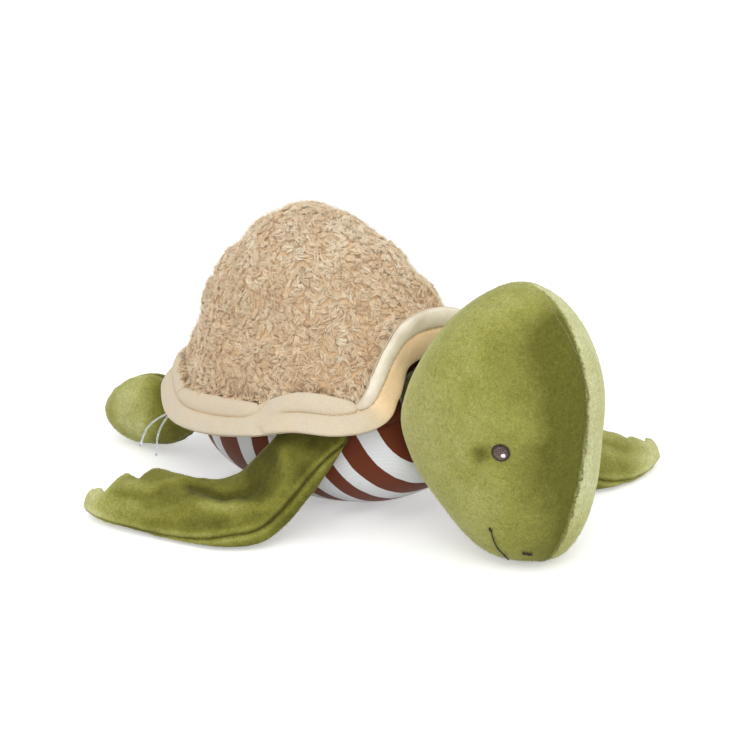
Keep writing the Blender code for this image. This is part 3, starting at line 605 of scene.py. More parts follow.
def pile_material(name, tones, patch_share):
    """The fibres of the same velour, lighter towards their tips."""
    material, tree = start_material(name, shine(0.8, 0.35, 0.4, SHEEN_GREEN, 0.15))
    colour = sheen_shade_colour(tree, tones, patch_share)
    colour = shaded(tree, colour, 1.0, add_value(tree, "tip"),
                    ((0.0, (0.86, 0.86, 0.84)), (1.0, (1.16, 1.16, 1.12))))
    return finish_material(material, colour)


def cream_material():
    """Velour that goes from bright through greyish cream to warm as its tone value rises, which on
    the rim carries painted shade in the stitched valleys.
    """
    material, tree = start_material(
        "cream_velour", shine(0.8, 0.35, 0.4, lin(252, 246, 232), 0.12))
    warm = add_math(tree, "MULTIPLY_ADD", add_noise(tree, 60, 3.0, 0.6), 0.5, -0.25)
    factor = add_math(tree, "ADD", add_value(tree, "nap"), warm)
    factor = add_math(tree, "MULTIPLY_ADD", factor, 0.7, 0.3, clamp=True)
    colour = add_ramp(tree, factor, (
        (0.0, lin(250, 240, 222)), (1.0, lin(255, 223, 181)), (0.30, lin(213, 200, 178)),
        (0.615, lin(219, 200, 168))))
    grain = add_noise(tree, 1300, 2.0, 0.6)
    colour = shaded(tree, colour, 0.8, grain,
                    ((0.3, (0.90, 0.90, 0.89)), (0.7, (1.06, 1.06, 1.06))))
    crush = add_bump(tree, add_noise(tree, 190, 4.0, 0.6), 0.40, 1.1 * MM)
    return finish_material(material, colour, add_bump(tree, grain, 0.25, 0.4 * MM, crush))


def add_knit(tree, scale, distortion, direction):
    inputs = {"Vector": add_node(tree, "TexCoord").outputs["Object"], "Scale": scale,
              "Distortion": distortion, "Detail": 1.0, "Detail Scale": 3.0}
    node = add_node(tree, "TexWave", inputs, wave_type="BANDS", bands_direction=direction)
    return node.outputs["Fac"]


# The run of the torso, in metres, that the ramp of stripes spans
STRIPES_FROM, STRIPES_TO = -0.0860, 0.1010


def jersey_material():
    """Fine knit with stripes across the torso's length."""
    material, tree = start_material(
        "striped_jersey", {"Roughness": 0.78, "Sheen Weight": 0.15, "Specular IOR Level": 0.2})
    along = add_value(tree, "along")
    wander = add_math(tree, "MULTIPLY_ADD", add_noise(tree, 90, 2.0), 0.0012, -0.0006)
    place = add_math(tree, "ADD", along, wander)
    place = add_math(tree, "SUBTRACT", place, STRIPES_FROM)
    place = add_math(tree, "DIVIDE", place, STRIPES_TO - STRIPES_FROM)
    brown, pale = lin(108, 50, 24), lin(234, 236, 238)
    stops = [(0.0, brown)]
    for index, edge in enumerate(STRIPE_EDGES):
        share = (edge - STRIPES_FROM) / (STRIPES_TO - STRIPES_FROM)
        stops.append((share, brown if index % 2 else pale))
    colour = add_ramp(tree, place, stops, True)
    rows, ribs = add_knit(tree, 420.0, 4.0, "Y"), add_knit(tree, 300.0, 1.2, "DIAGONAL")
    weave = add_math(tree, "MULTIPLY", rows, ribs)
    colour = shaded(tree, colour, 1.0, weave,
                    ((0.0, (0.96, 0.96, 0.96)), (0.6, (1.02, 1.02, 1.02))))
    colour = shaded(tree, colour, 0.8, add_noise(tree, 35, 3.0),
                    ((0.3, (0.90, 0.90, 0.92)), (0.7, (1.05, 1.05, 1.04))))
    return finish_material(material, colour, add_bump(tree, weave, 0.15, 0.2 * MM))


def fur_material():
    """Curly pile: each fibre has its own shade, pale at the tip with a painted highlight, and tan
    at the root, darkened further by painted shade deep in the pile.
    """
    material, tree = start_material(
        "curly_pile", shine(0.8, 0.35, 0.5, lin(250, 246, 240), 0.15))
    colour = add_ramp(tree, add_value(tree, "shade"), (
        (0.0, lin(226, 194, 155)), (1.0, lin(255, 243, 220)), (0.35, lin(243, 217, 180)),
        (0.7, lin(250, 231, 200))))
    # Darker at the root with painted shade deep in the pile, paler at the tip with a painted
    # highlight
    colour = shaded(tree, colour, 1.0, add_value(tree, "tip"), (
        (0.0, (0.84, 0.78, 0.71)), (1.0, (1.08, 1.10, 1.12)), (0.45, (1.02, 1.00, 0.98))))
    fibres = add_noise(tree, 620, 3.0, 0.6)
    colour = shaded(tree, colour, 0.85, fibres,
                    ((0.32, (0.93, 0.92, 0.91)), (0.68, (1.05, 1.05, 1.04))))
    return finish_material(material, colour, add_bump(tree, fibres, 0.4, 0.6 * MM))


def thread_material(name, dark, light):
    material, tree = start_material(name, {"Roughness": 0.5, "Specular IOR Level": 0.4})
    twist = add_noise(tree, 1500, 2.0)
    colour = add_ramp(tree, twist, ((0.35, dark), (0.7, light)))
    return finish_material(material, colour, add_bump(tree, twist, 0.4, 0.15 * MM))


def filling_material():
    material, tree = start_material("polyester_filling", {"Roughness": 0.9})
    fibres = add_noise(tree, 260, 4.0, 0.65)
    colour = add_ramp(tree, fibres, ((0.3, lin(214, 214, 210)), (0.7, lin(246, 246, 243))))
    return finish_material(material, colour, add_bump(tree, fibres, 0.6, 1.0 * MM))


def nylon_material():
    material, tree = start_material(
        "clear_nylon", {"Roughness": 0.12, "Transmission Weight": 0.75, "IOR": 1.5})
    haze = add_noise(tree, 500, 2.0)
    colour = add_ramp(tree, haze, ((0.3, lin(225, 230, 235)), (0.7, lin(250, 252, 254))))
    return finish_material(material, colour)


head_velour = velour_material("head_velour", HEAD_TONES, HEAD_PATCHES)
limb_velour = velour_material("limb_velour", LIMB_TONES, LIMB_PATCHES)
head_pile = pile_material("head_pile", HEAD_TONES, HEAD_PATCHES)
limb_pile = pile_material("limb_pile", LIMB_TONES, LIMB_PATCHES)
cream_velour = cream_material()
jersey = jersey_material()
fur = fur_material()
eye_thread = thread_material("eye_thread", lin(50, 38, 34), lin(146, 124, 112))
border_thread = thread_material("border_thread", lin(30, 22, 20), lin(74, 60, 54))
face_thread = thread_material("face_thread", lin(22, 22, 12), lin(48, 48, 26))
white_thread = thread_material("white_thread", lin(236, 234, 238), lin(255, 255, 255))
cream_thread = thread_material("cream_thread", lin(196, 158, 112), lin(226, 196, 152))
filling = filling_material()
clear_nylon = nylon_material()


# Pile

def scatter(points, normals, count, seed):
    """Random places on a grid, evenly by area: place, normal, cell and weights."""
    rng = np.random.default_rng(seed)
    a, b, c, d = points[:-1, :-1], points[1:, :-1], points[1:, 1:], points[:-1, 1:]
    area = np.linalg.norm(np.cross(c - a, d - b), axis=-1)
    total = np.cumsum(area.ravel())
    pick = np.minimum(np.searchsorted(total, rng.random(count) * total[-1]), area.size - 1)
    i, j = np.unravel_index(pick, area.shape)
    u, v = rng.random(count), rng.random(count)
    shares = ((1 - u) * (1 - v), u * (1 - v), u * v, (1 - u) * v)
    cells = ((i, j), (i + 1, j), (i + 1, j + 1), (i, j + 1))

    def read(grid):
        values = [grid[x, y] for x, y in cells]
        if grid.ndim == 3:
            return sum(s[:, None] * v for s, v in zip(shares, values))
        return sum(s * v for s, v in zip(shares, values))

    return read(points), unit(read(normals)), read, rng


HEAD_WORN = -106 * MM  # the back of the head, from here on, lies against neck, torso and rim
LIMB_WORN = 30 * MM  # about a limb's root
PILE_DEPTH = 0.25 * MM  # how deep the fibres are rooted


def add_pile(name, points, normals, nap, count, length, width, lean,
             body, slot, material, seed, worn=None):
    """Short fibres on a velour panel, each a closed spike that leans with the nap.

    worn tells, for each root, where cloth rubs on cloth at a joint and no fibre stands up."""
    root, out, read, rng = scatter(points, normals, count, seed)
    shade = read(nap)
    if worn is not None:
        stay = ~worn(root)
        root, out, shade, count = root[stay], out[stay], shade[stay], int(stay.sum())
    lean = np.asarray(lean, float) + rng.normal(0, 0.35, (count, 3))
    lean = lean - out * (lean * out).sum(-1, keepdims=True)
    direction = unit(out + lean * 0.8)
    side = unit(np.cross(direction, rng.normal(0, 1, (count, 3))))
    other = np.cross(direction, side)
    long = length * rng.uniform(0.65, 1.15, count)[:, None]
    foot = root - out * PILE_DEPTH
    spikes = np.stack([
        foot + side * width, foot - side * width / 2 + other * width * 0.87,
        foot - side * width / 2 - other * width * 0.87, foot + direction * (long + PILE_DEPTH)], 1)
    start = np.arange(count)[:, None] * 4
    faces = [start + np.array(t) for t in ((0, 1, 3), (1, 2, 3), (2, 0, 3), (0, 2, 1))]
    faces = facing_out(spikes, [np.concatenate(faces)])
    values = {"nap": np.repeat(shade, 4), "tip": np.tile((0.0, 0.0, 0.0, 1.0), count)}
    make_piece(name, spikes, faces, material, body, slot, values=values)


def add_panel(name, form, side, nap, cloth, material, body, slot, node, pad, extra=None):
    """One cloth panel of a form. Returns the grids for what is sewn onto it."""
    points, normals, values = form.panel(side, nap)
    carried = {"nap": np.concatenate([values.ravel()] * 2)}
    if extra is not None:
        carried["along"] = np.concatenate([form.panel(side, extra)[2].ravel()] * 2)
    make_piece(name, *cloth_shell(points, points - normals * cloth), material, body, slot,
               (node,), carried, pad)
    return points, normals, values


FILLING_SHARE = 0.93  # how far the filling reaches towards the seams
FILLING_ROWS = slice(11, -9, 3)  # every third ring, short of the form's two ends


def add_filling(name, form, inset, body, node, neck=0):
    inset = np.minimum(inset, form.sizes[FILLING_ROWS, 2] * 0.5)[:, None, None]
    rings, normals = form.rings[FILLING_ROWS, ::3], form.normals[FILLING_ROWS, ::3]
    rings = rings - normals * inset
    rings = rings + normals * (noise(rings, 0.012, 5) * 0.4 * MM)[..., None]
    heart = rings.mean(1, keepdims=True)
    rings = heart + (rings - heart) * FILLING_SHARE
    if neck:
        rings = cup(rings, neck, NECK_RADIUS + NECK_PLAY + inset.max())
    make_piece(name, *closed_rings(rings, rings[0].mean(0), rings[-1].mean(0)), filling,
               body, "polyester_filling", (node,), pad=0.8)


# Torso

STRIPE_LEAN = 0.18  # how far the stripes lean back for each length of height
STRIPE_LEVEL = 0.052  # the height at which they stand where the edges say


def build_torso():
    form = torso_form()
    p = form.rings
    dent = noise(p, 0.030, 1) * 0.9 * MM + noise(p, 0.011, 2) * 0.25 * MM
    seam = bell(form.seam, 1.6 * MM) * 0.15 * MM
    pucker = noise(p * (0.4, 1, 0.4), 0.0045, 3) * bell(form.seam, 7 * MM) * 0.3 * MM
    form.reshape(-np.abs(dent) * 0.6 - 0.4 * MM - seam + pucker, 0.15 * MM, 1)
    nap = np.zeros(form.rings.shape[:2])
    along = form.centre[:, 1][:, None] + STRIPE_LEAN * (STRIPE_LEVEL - form.rings[..., 2])
    for side, name in ((1, "back_cover"), (-1, "belly_cover")):
        add_panel(name + "_jersey", form, side, nap, JERSEY, jersey, "torso", "striped_jersey",
                  name, 0.8, along)
    add_filling("body_filling", form, JERSEY + 1.2 * MM, "torso", "body_stuffing", 1)
    return form


# Head

# Where the dark front meets the pale painted sheen of the head's left side: heights and sideways
# places in millimetres
SHEEN_BORDER = ((30, 45, 60, 78, 100, 125, 140, 152), (-9, -8.5, -6, -4, -3, 0, 3, 6))
# Darker and paler spots painted into the head's tone, with painted shade in the dimple by the
# right eye: place and size in millimetres, and how much
TONE_AND_SHADE_SPOTS = (
    ((-12.4, -198.4, 102.6), 15, 0.16), ((-19.0, -197.0, 78.9), 12, 0.20),
    ((-6.9, -188.5, 131.8), 15, 0.10), ((-47.0, -163.5, 74.8), 5, 0.46),
    ((-24.0, -190.0, 60.0), 16, 0.10), ((-44.0, -160.0, 45.0), 16, -0.05),
)
# Dimples at each eye, here for +X: place, size and depth in millimetres
DIMPLES = (((46.4, -165.1, 74.8), 5.5, 1.5), ((41.6, -173.6, 76.4), 8, 0.9))
CROWN_CREASE = ((17.5, -152.2, 156.6), (3.0, -148.5, 160.2))


def line_distance(points, line):
    """How far each point lies from a line of straight runs."""
    nearest = np.full(points.shape[:-1], 1.0)
    for a, b in zip(line, line[1:]):
        t = np.clip(((points - a) @ (b - a)) / ((b - a) @ (b - a)), 0, 1)
        away = np.linalg.norm(points - (a + t[..., None] * (b - a)), axis=-1)
        nearest = np.minimum(nearest, away)
    return nearest


def past_border(points):
    """How far each point lies to the left of the line where the painted sheen of the head's left
    side begins.
    """
    return points[..., 0] - np.interp(points[..., 2] / MM, *SHEEN_BORDER) * MM


def head_sheen_shade(form, across):
    """The head's painted sheen and shade: darker along the front, pale painted sheen past the
    border, spots, the crown, and random tone.
    """
    p = form.rings
    height = p[..., 2]
    # Painted shade: darker along the middle of the front
    nap = 0.42 + 0.40 * bell(across, 0.17) + 0.34 * bell(across, 0.42)
    # Spots painted in, with painted shade in the dimple by the right eye
    for place, size, share in TONE_AND_SHADE_SPOTS:
        near = np.linalg.norm(p - np.array(place) * MM, axis=-1)
        nap = nap + share * bell(near, size * MM)
    high = ease(height, 0.140, 0.158)
    nap = nap + 0.09 * ease(height, 0.085, 0.130) * (1 - high)
    nap = nap * (1 - high) + 0.58 * high
    # Past the border the left side gets pale painted sheen, less of it towards the back and near
    # the floor
    far = 0.17 + 0.34 * ease(across, 0.22, 0.55) + 0.22 * (1 - ease(height, 0.012, 0.045))
    beyond = np.where(across < 0.5, ease(past_border(p), -0.7 * MM, 0.7 * MM), p[..., 0] > 0)
    nap = nap * (1 - beyond) + far * beyond
    return nap + 0.05 * noise(p, 0.020, 14) + 0.04 * noise(p, 0.006, 15)


def build_head():
    form = head_form()
    p = form.rings
    across = np.minimum(form.angles, 2 * np.pi - form.angles) / np.pi
    dent = noise(p, 0.034, 11) * 0.9 * MM + noise(p, 0.012, 12) * 0.18 * MM
    seam = bell(form.seam, 1.5 * MM) * 0.15 * MM
    pucker = noise(p * (0.5, 0.5, 1), 0.004, 13) * bell(form.seam, 5 * MM) * 0.22 * MM
    shift = dent * 0.5 - 0.7 * MM - seam + pucker
    for side in (-1, 1):
        mirror = np.array((side, 1, 1))
        for place, size, depth in DIMPLES:
            away = np.linalg.norm(p - place * mirror * MM, axis=-1)
            shift -= depth * MM * bell(away, size * MM)
        shift -= 0.9 * MM * bell(line_distance(p, CROWN_CREASE * mirror * MM), 1.3 * MM)
    form.reshape(shift, 0.2 * MM, -1)
    nap = head_sheen_shade(form, across)
    grids = {}
    for side, name in ((1, "left"), (-1, "right")):
        grids[name] = add_panel(
            "head_velour_" + name, form, side, nap, VELOUR, head_velour, "head",
            "velour_green_light", "head_side_" + name, 0.85)
        add_pile("head_pile_" + name, *grids[name], 9000, 0.75 * MM, 0.13 * MM,
                 (0.0, 0.10, -0.75), "head", "velour_green_light", head_pile, 21 + side,
                 lambda root: root[:, 1] > HEAD_WORN)
    add_ridge_fringe(form)
    add_filling("head_filling", form, VELOUR + 1.2 * MM, "head", "head_stuffing", -1)
    return grids


def add_ridge_fringe(form):
    """Longer fibres that lean over the line where the dark front meets the painted sheen of the
    left side.
    """
    near = list(range(-14, 15))
    points, normals = form.rings[7:-7, near], form.normals[7:-7, near]
    edge = np.argmin(np.abs(past_border(points)), axis=1)
    rows = np.arange(len(points))[:, None]
    pick = np.clip(edge[:, None] + np.array((-1, 0, 1)), 0, len(near) - 1)
    points, normals = points[rows, pick], normals[rows, pick]
    height = points[..., 2]
    # The fringe carries the front's dark painted shade, less of it towards the crown and the chin
    deep = 0.80 - 0.30 * ease(height, 0.125, 0.150) - 0.12 * (1 - ease(height, 0.02, 0.05))
    add_pile("head_edge_pile", points, normals, deep, 3200, 1.2 * MM, 0.14 * MM,
             (0.8, 0.0, -0.5), "head", "velour_green_light", head_pile, 29)


def grid_tree(points):
    rows, columns = points.shape[:2]
    faces = grid_faces(rows, columns)
    return BVHTree.FromPolygons(points.reshape(-1, 3).tolist(), faces.tolist())


def snap(tree, place, inside):
    """The nearest point on a surface, and its direction away from a place inside."""
    spot, normal, _, _ = tree.find_nearest(Vector(place))
    spot, normal = np.array(spot), np.array(normal)
    if normal @ (spot - inside) < 0:
        normal = -normal
    return spot, normal


# Stitches on the face, here for -X, in millimetres
MOUTH = ((-38.9, -164.5, 29.2), (-38.3, -165.1, 27.4), (-36.5, -165.1, 23.1),
         (-32.9, -165.5, 16.0), (-28.1, -167.1, 10.2), (-24.1, -166.7, 6.4))
MOUTH_STITCHES = 12
NOSTRIL = (((-24.6, -176.9, 13.9), (-22.9, -178.2, 12.6)),
           ((-22.9, -178.6, 13.7), (-21.4, -179.2, 11.9)),
           ((-21.6, -180.0, 13.6), (-19.9, -179.9, 12.0)))
HEAD_MIDDLE = np.array((0, -140.0, 70.0)) * MM


def stitch(tree, places, rise, bow, thick, taper):
    """A thread over the head's surface that bows out between its two ends."""
    path = []
    for step, place in enumerate(places):
        spot, out = snap(tree, place, HEAD_MIDDLE)
        arc = math.sin(math.pi * step / (len(places) - 1))
        path.append(spot + out * (rise + bow * arc) * MM)
    return tube(path, thick * MM * np.array(taper), 8)


def add_face(grids):
    for side, name in ((-1, "right"), (1, "left")):
        mirror = np.array((-side, 1, 1)) * MM
        tree = grid_tree(grids[name][0])
        stitches = []
        line = smooth(np.array(MOUTH) * mirror, 7)
        steps = np.linalg.norm(np.diff(line, axis=0), axis=-1)
        lengths = np.concatenate([[0], np.cumsum(steps)])
        for k in range(MOUTH_STITCHES):
            ends = np.array((k - 0.12, k + 1.12)) / MOUTH_STITCHES * lengths[-1]
            runs = np.linspace(*np.clip(ends, 0, lengths[-1]), 7)
            places = [[np.interp(run, lengths, line[:, a]) for a in range(3)] for run in runs]
            thick = 0.90 if k == 0 else 0.42 if k % 3 else 0.52
            stitches.append(stitch(tree, places, 0.75, 0.42, thick,
                                   (0.55, 0.9, 1, 1, 1, 0.9, 0.55)))
        for a, b in np.array(NOSTRIL):
            places = [(a + (b - a) * step / 4) * mirror for step in range(5)]
            stitches.append(stitch(tree, places, 0.85, 0.35, 0.78, (0.5, 0.95, 1, 0.95, 0.5)))
        make_piece("face_stitches_" + name, *joined(stitches), face_thread, "head",
                   "embroidery_thread")
        add_eye(name, side, tree)


EYE_TURNS = 8.0  # of the spiral of thread
EYE_BORDER_STITCHES = 52


def add_eye(name, side, tree):
    """A satin-stitched disc: a spiral of thread, a border of short stitches, a white knot."""
    low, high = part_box("eye_" + name)
    centre, out = snap(tree, (low + high) / 2, HEAD_MIDDLE)
    upward = unit(np.array((0, 0, 1.0)) - out * out[2])
    right = np.cross(upward, out)
    centre = centre + out * 0.5 * MM

    def spot(r, turn, rise):
        return centre + r * (math.cos(turn) * right + math.sin(turn) * upward) + out * rise

    def dome(r):
        return (1.25 - 1.0 * (r / EYE_RADIUS) ** 2) * MM

    under = 0.2 * MM
    disc = ((0.5 * MM, dome(0) - under), (2.0 * MM, dome(2.0 * MM) - under),
            (3.6 * MM, dome(3.6 * MM) - under), (4.7 * MM, 0.2 * MM), (5.0 * MM, -0.5 * MM))
    rings = [[spot(r, 2 * math.pi * k / 40, rise) for k in range(40)] for r, rise in disc]
    top, bottom = centre + out * (dome(0) - under), centre - out * 0.5 * MM
    parts = [closed_rings(np.array(rings), top, bottom)]
    path = []
    for s in np.linspace(0, 1, 420):
        r = 0.25 * MM + 4.2 * MM * s
        path.append(spot(r, 2 * math.pi * EYE_TURNS * s, dome(r) - 0.02 * MM))
    parts.append(tube(path, 0.27 * MM, 6))
    make_piece("eye_embroidery_" + name, *joined(parts), eye_thread, "head",
               "embroidery_thread", ("eye_" + name,))
    parts = []
    for k in range(EYE_BORDER_STITCHES):
        turn = 2 * math.pi * k / EYE_BORDER_STITCHES
        lean = turn + 0.07
        path = [spot(4.05 * MM, turn, 0.75 * MM), spot(4.55 * MM, (turn + lean) / 2, 0.72 * MM),
                spot(5.0 * MM, lean, 0.30 * MM), spot(5.15 * MM, lean, -0.35 * MM)]
        parts.append(tube(path, np.array((0.16, 0.27, 0.27, 0.18)) * MM, 6))
    make_piece("eye_border_" + name, *joined(parts), border_thread, "head", "embroidery_thread")
    knot = []
    middle = spot(1.95 * MM, -0.55 if side < 0 else math.pi + 0.55, 1.2 * MM)
    for k in (-1.5, -0.5, 0.5, 1.5):
        offset = k * 0.60 * MM
        reach = (1.30 - 0.26 * abs(k)) * MM
        path = [middle + right * offset + upward * reach * t
                + out * (0.24 * MM * math.cos(t * 1.5)) for t in (-1, -0.5, 0, 0.5, 1)]
        knot.append(tube(path, np.array((0.22, 0.40, 0.44, 0.40, 0.22)) * MM, 6))
    make_piece("eye_glint_" + name, *joined(knot), white_thread, "head", "embroidery_thread")


# Limbs

# Folds on the swept flipper: points in millimetres, then width, depth and painted shade, which
# darkens a valley and, below zero, lightens a ridge as a painted highlight
FOLDS = (
    (((-113, 9, 29), (-111.4, -9.1, 27.9), (-109.4, -17.5, 27.1), (-102.6, -24.0, 29.0),
      (-100.0, -28.2, 28.8), (-94.2, -29.8, 32.6)), 3.6, 3.0, 0.34),
    (((-94.2, -29.8, 32.6), (-88.3, -26.0, 40.1), (-82, -30, 50)), 7.0, 0.8, 0.20),
    (((-119.7, -9.6, 22.2), (-114.0, -22.6, 22.3), (-105.4, -33.2, 23.5), (-98.9, -40.8, 23.2),
      (-92.6, -45.2, 27.0), (-87.7, -47.7, 33.3), (-84.4, -47.7, 39.9), (-81.1, -43.5, 46.6),
      (-77.5, -36.3, 52.5)), 4.2, -1.6, -0.26),
    (((-68.6, -51.7, 59.1), (-69.1, -58.9, 56.2), (-74.5, -56.1, 49.4), (-79.3, -55.2, 41.7)),
     4.5, 0.9, 0.16),
    (((-136, 52, 18), (-135.4, 46.2, 19.3), (-132.6, 30.5, 19.7), (-125.7, 20.1, 22.5)),
     3.0, 0.9, 0.18),
    (((-133.4, 20.3, 17.6), (-124.5, 7.6, 21.9), (-117.1, 2.4, 26.3)), 4.0, 1.0, 0.14),
    (((-127.0, 46.8, 22.6), (-125.3, 29.8, 23.6), (-113.9, 20.0, 28.3)), 4.0, -0.8, -0.16),
    (((-139.7, 12.9, 9.4), (-129.1, -11.2, 13.3), (-119.2, -26.6, 16.2)), 5.0, 0.5, 0.16),
)
FLIPPER_TURN = 0.62  # radians that its leading seam lies towards the top, midway along


def mirrored_fold(line):
    """The fold on the other flipper, which is turned forward about its root."""
    x, y, z = line.T
    return np.stack([0.012 - x * 0.95, -y - 0.102, z + 0.002], -1)


def build_limb(kind, where, table, size, half_thickness, side, half_steps, ends, count, seed):
    flipper = kind == "flipper"
    turned = FLIPPER_TURN if flipper else 0.0
    form = limb_form(table, size, half_thickness, side, half_steps, turned)
    p = form.rings
    body = kind + "_" + where
    seam = bell(form.seam, 1.8 * MM) * (1.5 if flipper else 0.8) * MM
    inward = np.clip(form.sizes[:, 2:3] / (6 * MM), 0, 1)
    shift = (noise(p, 0.022, seed) * 0.8 * MM + noise(p, 0.009, seed + 1) * 0.35 * MM
             - 0.3 * MM - seam)
    shift = shift + noise(p, 0.0050, seed + 2) * bell(form.seam, 5 * MM) * 0.80 * MM
    nap = 0.62 + 0.12 * noise(p, 0.024, seed + 3) + 0.08 * noise(p, 0.009, seed + 4)
    if side > 0:
        nap = nap - 0.06 + 0.14 * noise(p, 0.013, seed + 5)
    if flipper:
        along = np.linspace(0, 1, len(p))[:, None]
        steps = np.linalg.norm(np.diff(form.centre, axis=0), axis=1)
        reach = (np.concatenate([[0], np.cumsum(steps)]) / steps.sum())[:, None]
        # Painted shade near the root, where the flipper meets the body, and lighter towards the
        # tip
        nap = nap + 0.30 * (1 - ease(along, 0.10, 0.40)) - 0.46 * ease(reach, 0.66, 0.96)
        # Each fold sinks or raises the cloth and has painted shade in its valley or a painted
        # highlight on its ridge
        for line, width, depth, shade in FOLDS:
            line = np.array(line) * MM
            if side > 0:
                line = mirrored_fold(line)
            close = bell(line_distance(p, line), width * MM)
            shift = shift - depth * MM * close
            nap = nap + shade * close
    else:
        # Painted light on the foot's outer side, painted shade on its side towards the body
        aside = (p[..., 1] + side * p[..., 0]) / MM
        nap = nap + 0.22 - 0.58 * ease(aside, 158, 186)
    form.reshape(shift * inward, 0.3 * MM)
    # Painted sheen on the puff just off each seam, and painted shade in the seam itself
    nap = nap - 0.20 * bell(form.seam - 2.8 * MM, 1.8 * MM) + 0.30 * bell(form.seam, MM)
    cloth = np.minimum(VELOUR, form.sizes[:, 2] * 0.35)[:, None, None]
    lean = unit(form.centre[-1] - form.centre[0])
    for half, end in zip((1, -1), ends):
        node = body + end
        grids = add_panel(node + "_velour", form, half, nap, cloth, limb_velour, body,
                          "velour_green", node, 0.75)
        add_pile(node + "_pile", *grids, count, 0.80 * MM, 0.14 * MM, lean * 0.75,
                 body, "velour_green", limb_pile, seed + 7 + half,
                 lambda root: np.linalg.norm(root - form.centre[0], axis=1) < LIMB_WORN)
    add_filling(body + "_filling", form, VELOUR + 0.8 * MM, body, body + "_stuffing")


def build_limbs():
    for side, where, table in ((-1, "right", SWEPT_ROWS), (1, "left", FORWARD_ROWS)):
        build_limb("flipper", where, table, FLIPPER_SIZE, FLIPPER_HALF_THICKNESS, side, 44,
                   ("_top", "_under"), 4200, 40 + side)
        build_limb("foot", where, FOOT_ROWS, FOOT_SIZE, FOOT_HALF_THICKNESS, side, 36,
                   ("_outer", "_inner"), 2400, 60 + side)


# Neck

NECK_SPAN = math.radians(45)  # how far the cover reaches from the neck's middle, each way


def build_neck():
    turns = 2 * np.pi * np.arange(96) / 96
    lean = np.linspace(-NECK_SPAN, NECK_SPAN, 22)[:, None]
    fold = np.sin(turns * 17) * 0.25 + np.sin(turns * 29 + 1.0) * 0.15
    radius = NECK_RADIUS - 0.45 * MM + fold * MM * (0.6 + 0.4 * np.cos(lean * 2))
    outer = np.stack([radius * np.cos(lean) * np.cos(turns), radius * np.sin(lean) + 0 * turns,
                      radius * np.cos(lean) * np.sin(turns)], -1) + NECK
    inner = NECK + (outer - NECK) * (1 - VELOUR / NECK_RADIUS)
    points, faces = ring_shell(outer.transpose(1, 0, 2), inner.transpose(1, 0, 2))
    make_piece("neck_velour", points, faces, limb_velour, "neck", "velour_green",
               ("neck_cover",), {"nap": np.full(len(points), 0.75)}, 0.7)
    core = NECK_RADIUS - VELOUR - 1.2 * MM
    around = 2 * np.pi * np.arange(40) / 40
    rings = [[NECK + core * np.array((math.cos(a) * math.cos(t), math.sin(a),
                                      math.cos(a) * math.sin(t))) for t in around]
             for a in np.radians(np.linspace(-80, 80, 15))]
    ball = closed_rings(np.array(rings), NECK - (0, core, 0), NECK + (0, core, 0))
    make_piece("neck_filling", *ball, filling, "neck", "polyester_filling",
               ("neck_stuffing",), pad=0.8)


# Shell

SHELL_MIDDLE = np.array((0, SHELL_APEX_BACK, SHELL_FOOT_HEIGHT))
BACKING_DEPTH = 1.7 * MM
BACKING_THICKNESS = 3.0 * MM
SHELL_FILLING_DEPTH = 4.0 * MM  # under the backing's face
# Tufts: how many places are tried, how far apart they stay, and sizes in millimetres
TUFT_TRIES = 20000
TUFT_GAP = 2.95 * MM
TUFT_LENGTH = (7.0, 11.0)
TUFT_HEIGHT = (2.2, 3.7)
TUFT_SPREAD = 2.5
SKIRT_TUFTS = 480  # along the rim
SKIRT_RISE = 4.4
FIBRES = 19  # in each tuft
FIBRE_RADIUS = (0.18, 0.29)
# Single hairs past the tufts: how many, and how far forward they stand, then millimetres
HAIRS = 15000
HAIRS_FROM = -66 * MM
HAIR_REACH = (3.4, 5.2)
HAIR_OVER = (0.6, 2.6)
HAIR_RADIUS = 0.065


def shell_foot(steps):
    """The closed line where the shell meets the back: place, outward, upward, turn."""
    rows = np.array(SHELL_FOOT_ROWS)
    half = np.stack([-rows[:, 0] * SHELL_HALF_WIDTH,
                     rows[:, 1] * np.where(rows[:, 1] < 0, SHELL_FRONT, SHELL_REAR),
                     SHELL_FOOT_HEIGHT + rows[:, 2] * SHELL_ARCH_RISE], -1)
    loop = np.vstack([half, half[-2:0:-1] * (-1, 1, 1)])
    places = smooth(loop, steps, True)
    onward = np.roll(places, -1, 0) - np.roll(places, 1, 0)
    flat = unit(onward * (1, 1, 0))
    out = np.stack([flat[:, 1], -flat[:, 0], 0 * flat[:, 0]], -1)
    away = places - np.array((0, SHELL_APEX_BACK, 0))
    out = np.where(((out * away).sum(-1) < 0)[:, None], -out, out)
    up = np.cross(unit(onward), out)
    i = np.arange(len(places))
    return places, out, up, np.minimum(i, len(places) - i) / steps


def dome_grid(steps, side_steps):
    rows = smooth(SHELL_SIDE_ROWS, side_steps)
    caps = np.array(CAPS)
    last = rows[-1]
    ends = np.stack([1 - (1 - last[0]) * caps**2, last[1] * caps, last[2] * caps], -1)
    rows = np.vstack([rows, ends])
    apex = np.array((0, SHELL_APEX_BACK, SHELL_APEX_HEIGHT))
    places, out, _, _ = shell_foot(steps)
    ahead = np.clip((apex[1] - places[:, 1]) / (apex[1] + SHELL_FRONT), 0, None)
    spread = rows[:, 1:2] + (rows[:, 2:3] - rows[:, 1:2]) * ahead
    foot = places - out * SHELL_INSIDE_RIM
    xy = apex[:2] + (foot[:, :2] - apex[:2]) * spread[..., None]
    z = foot[:, 2] + (apex[2] - foot[:, 2]) * rows[:, :1]
    return np.concatenate([xy, z[..., None]], -1), apex


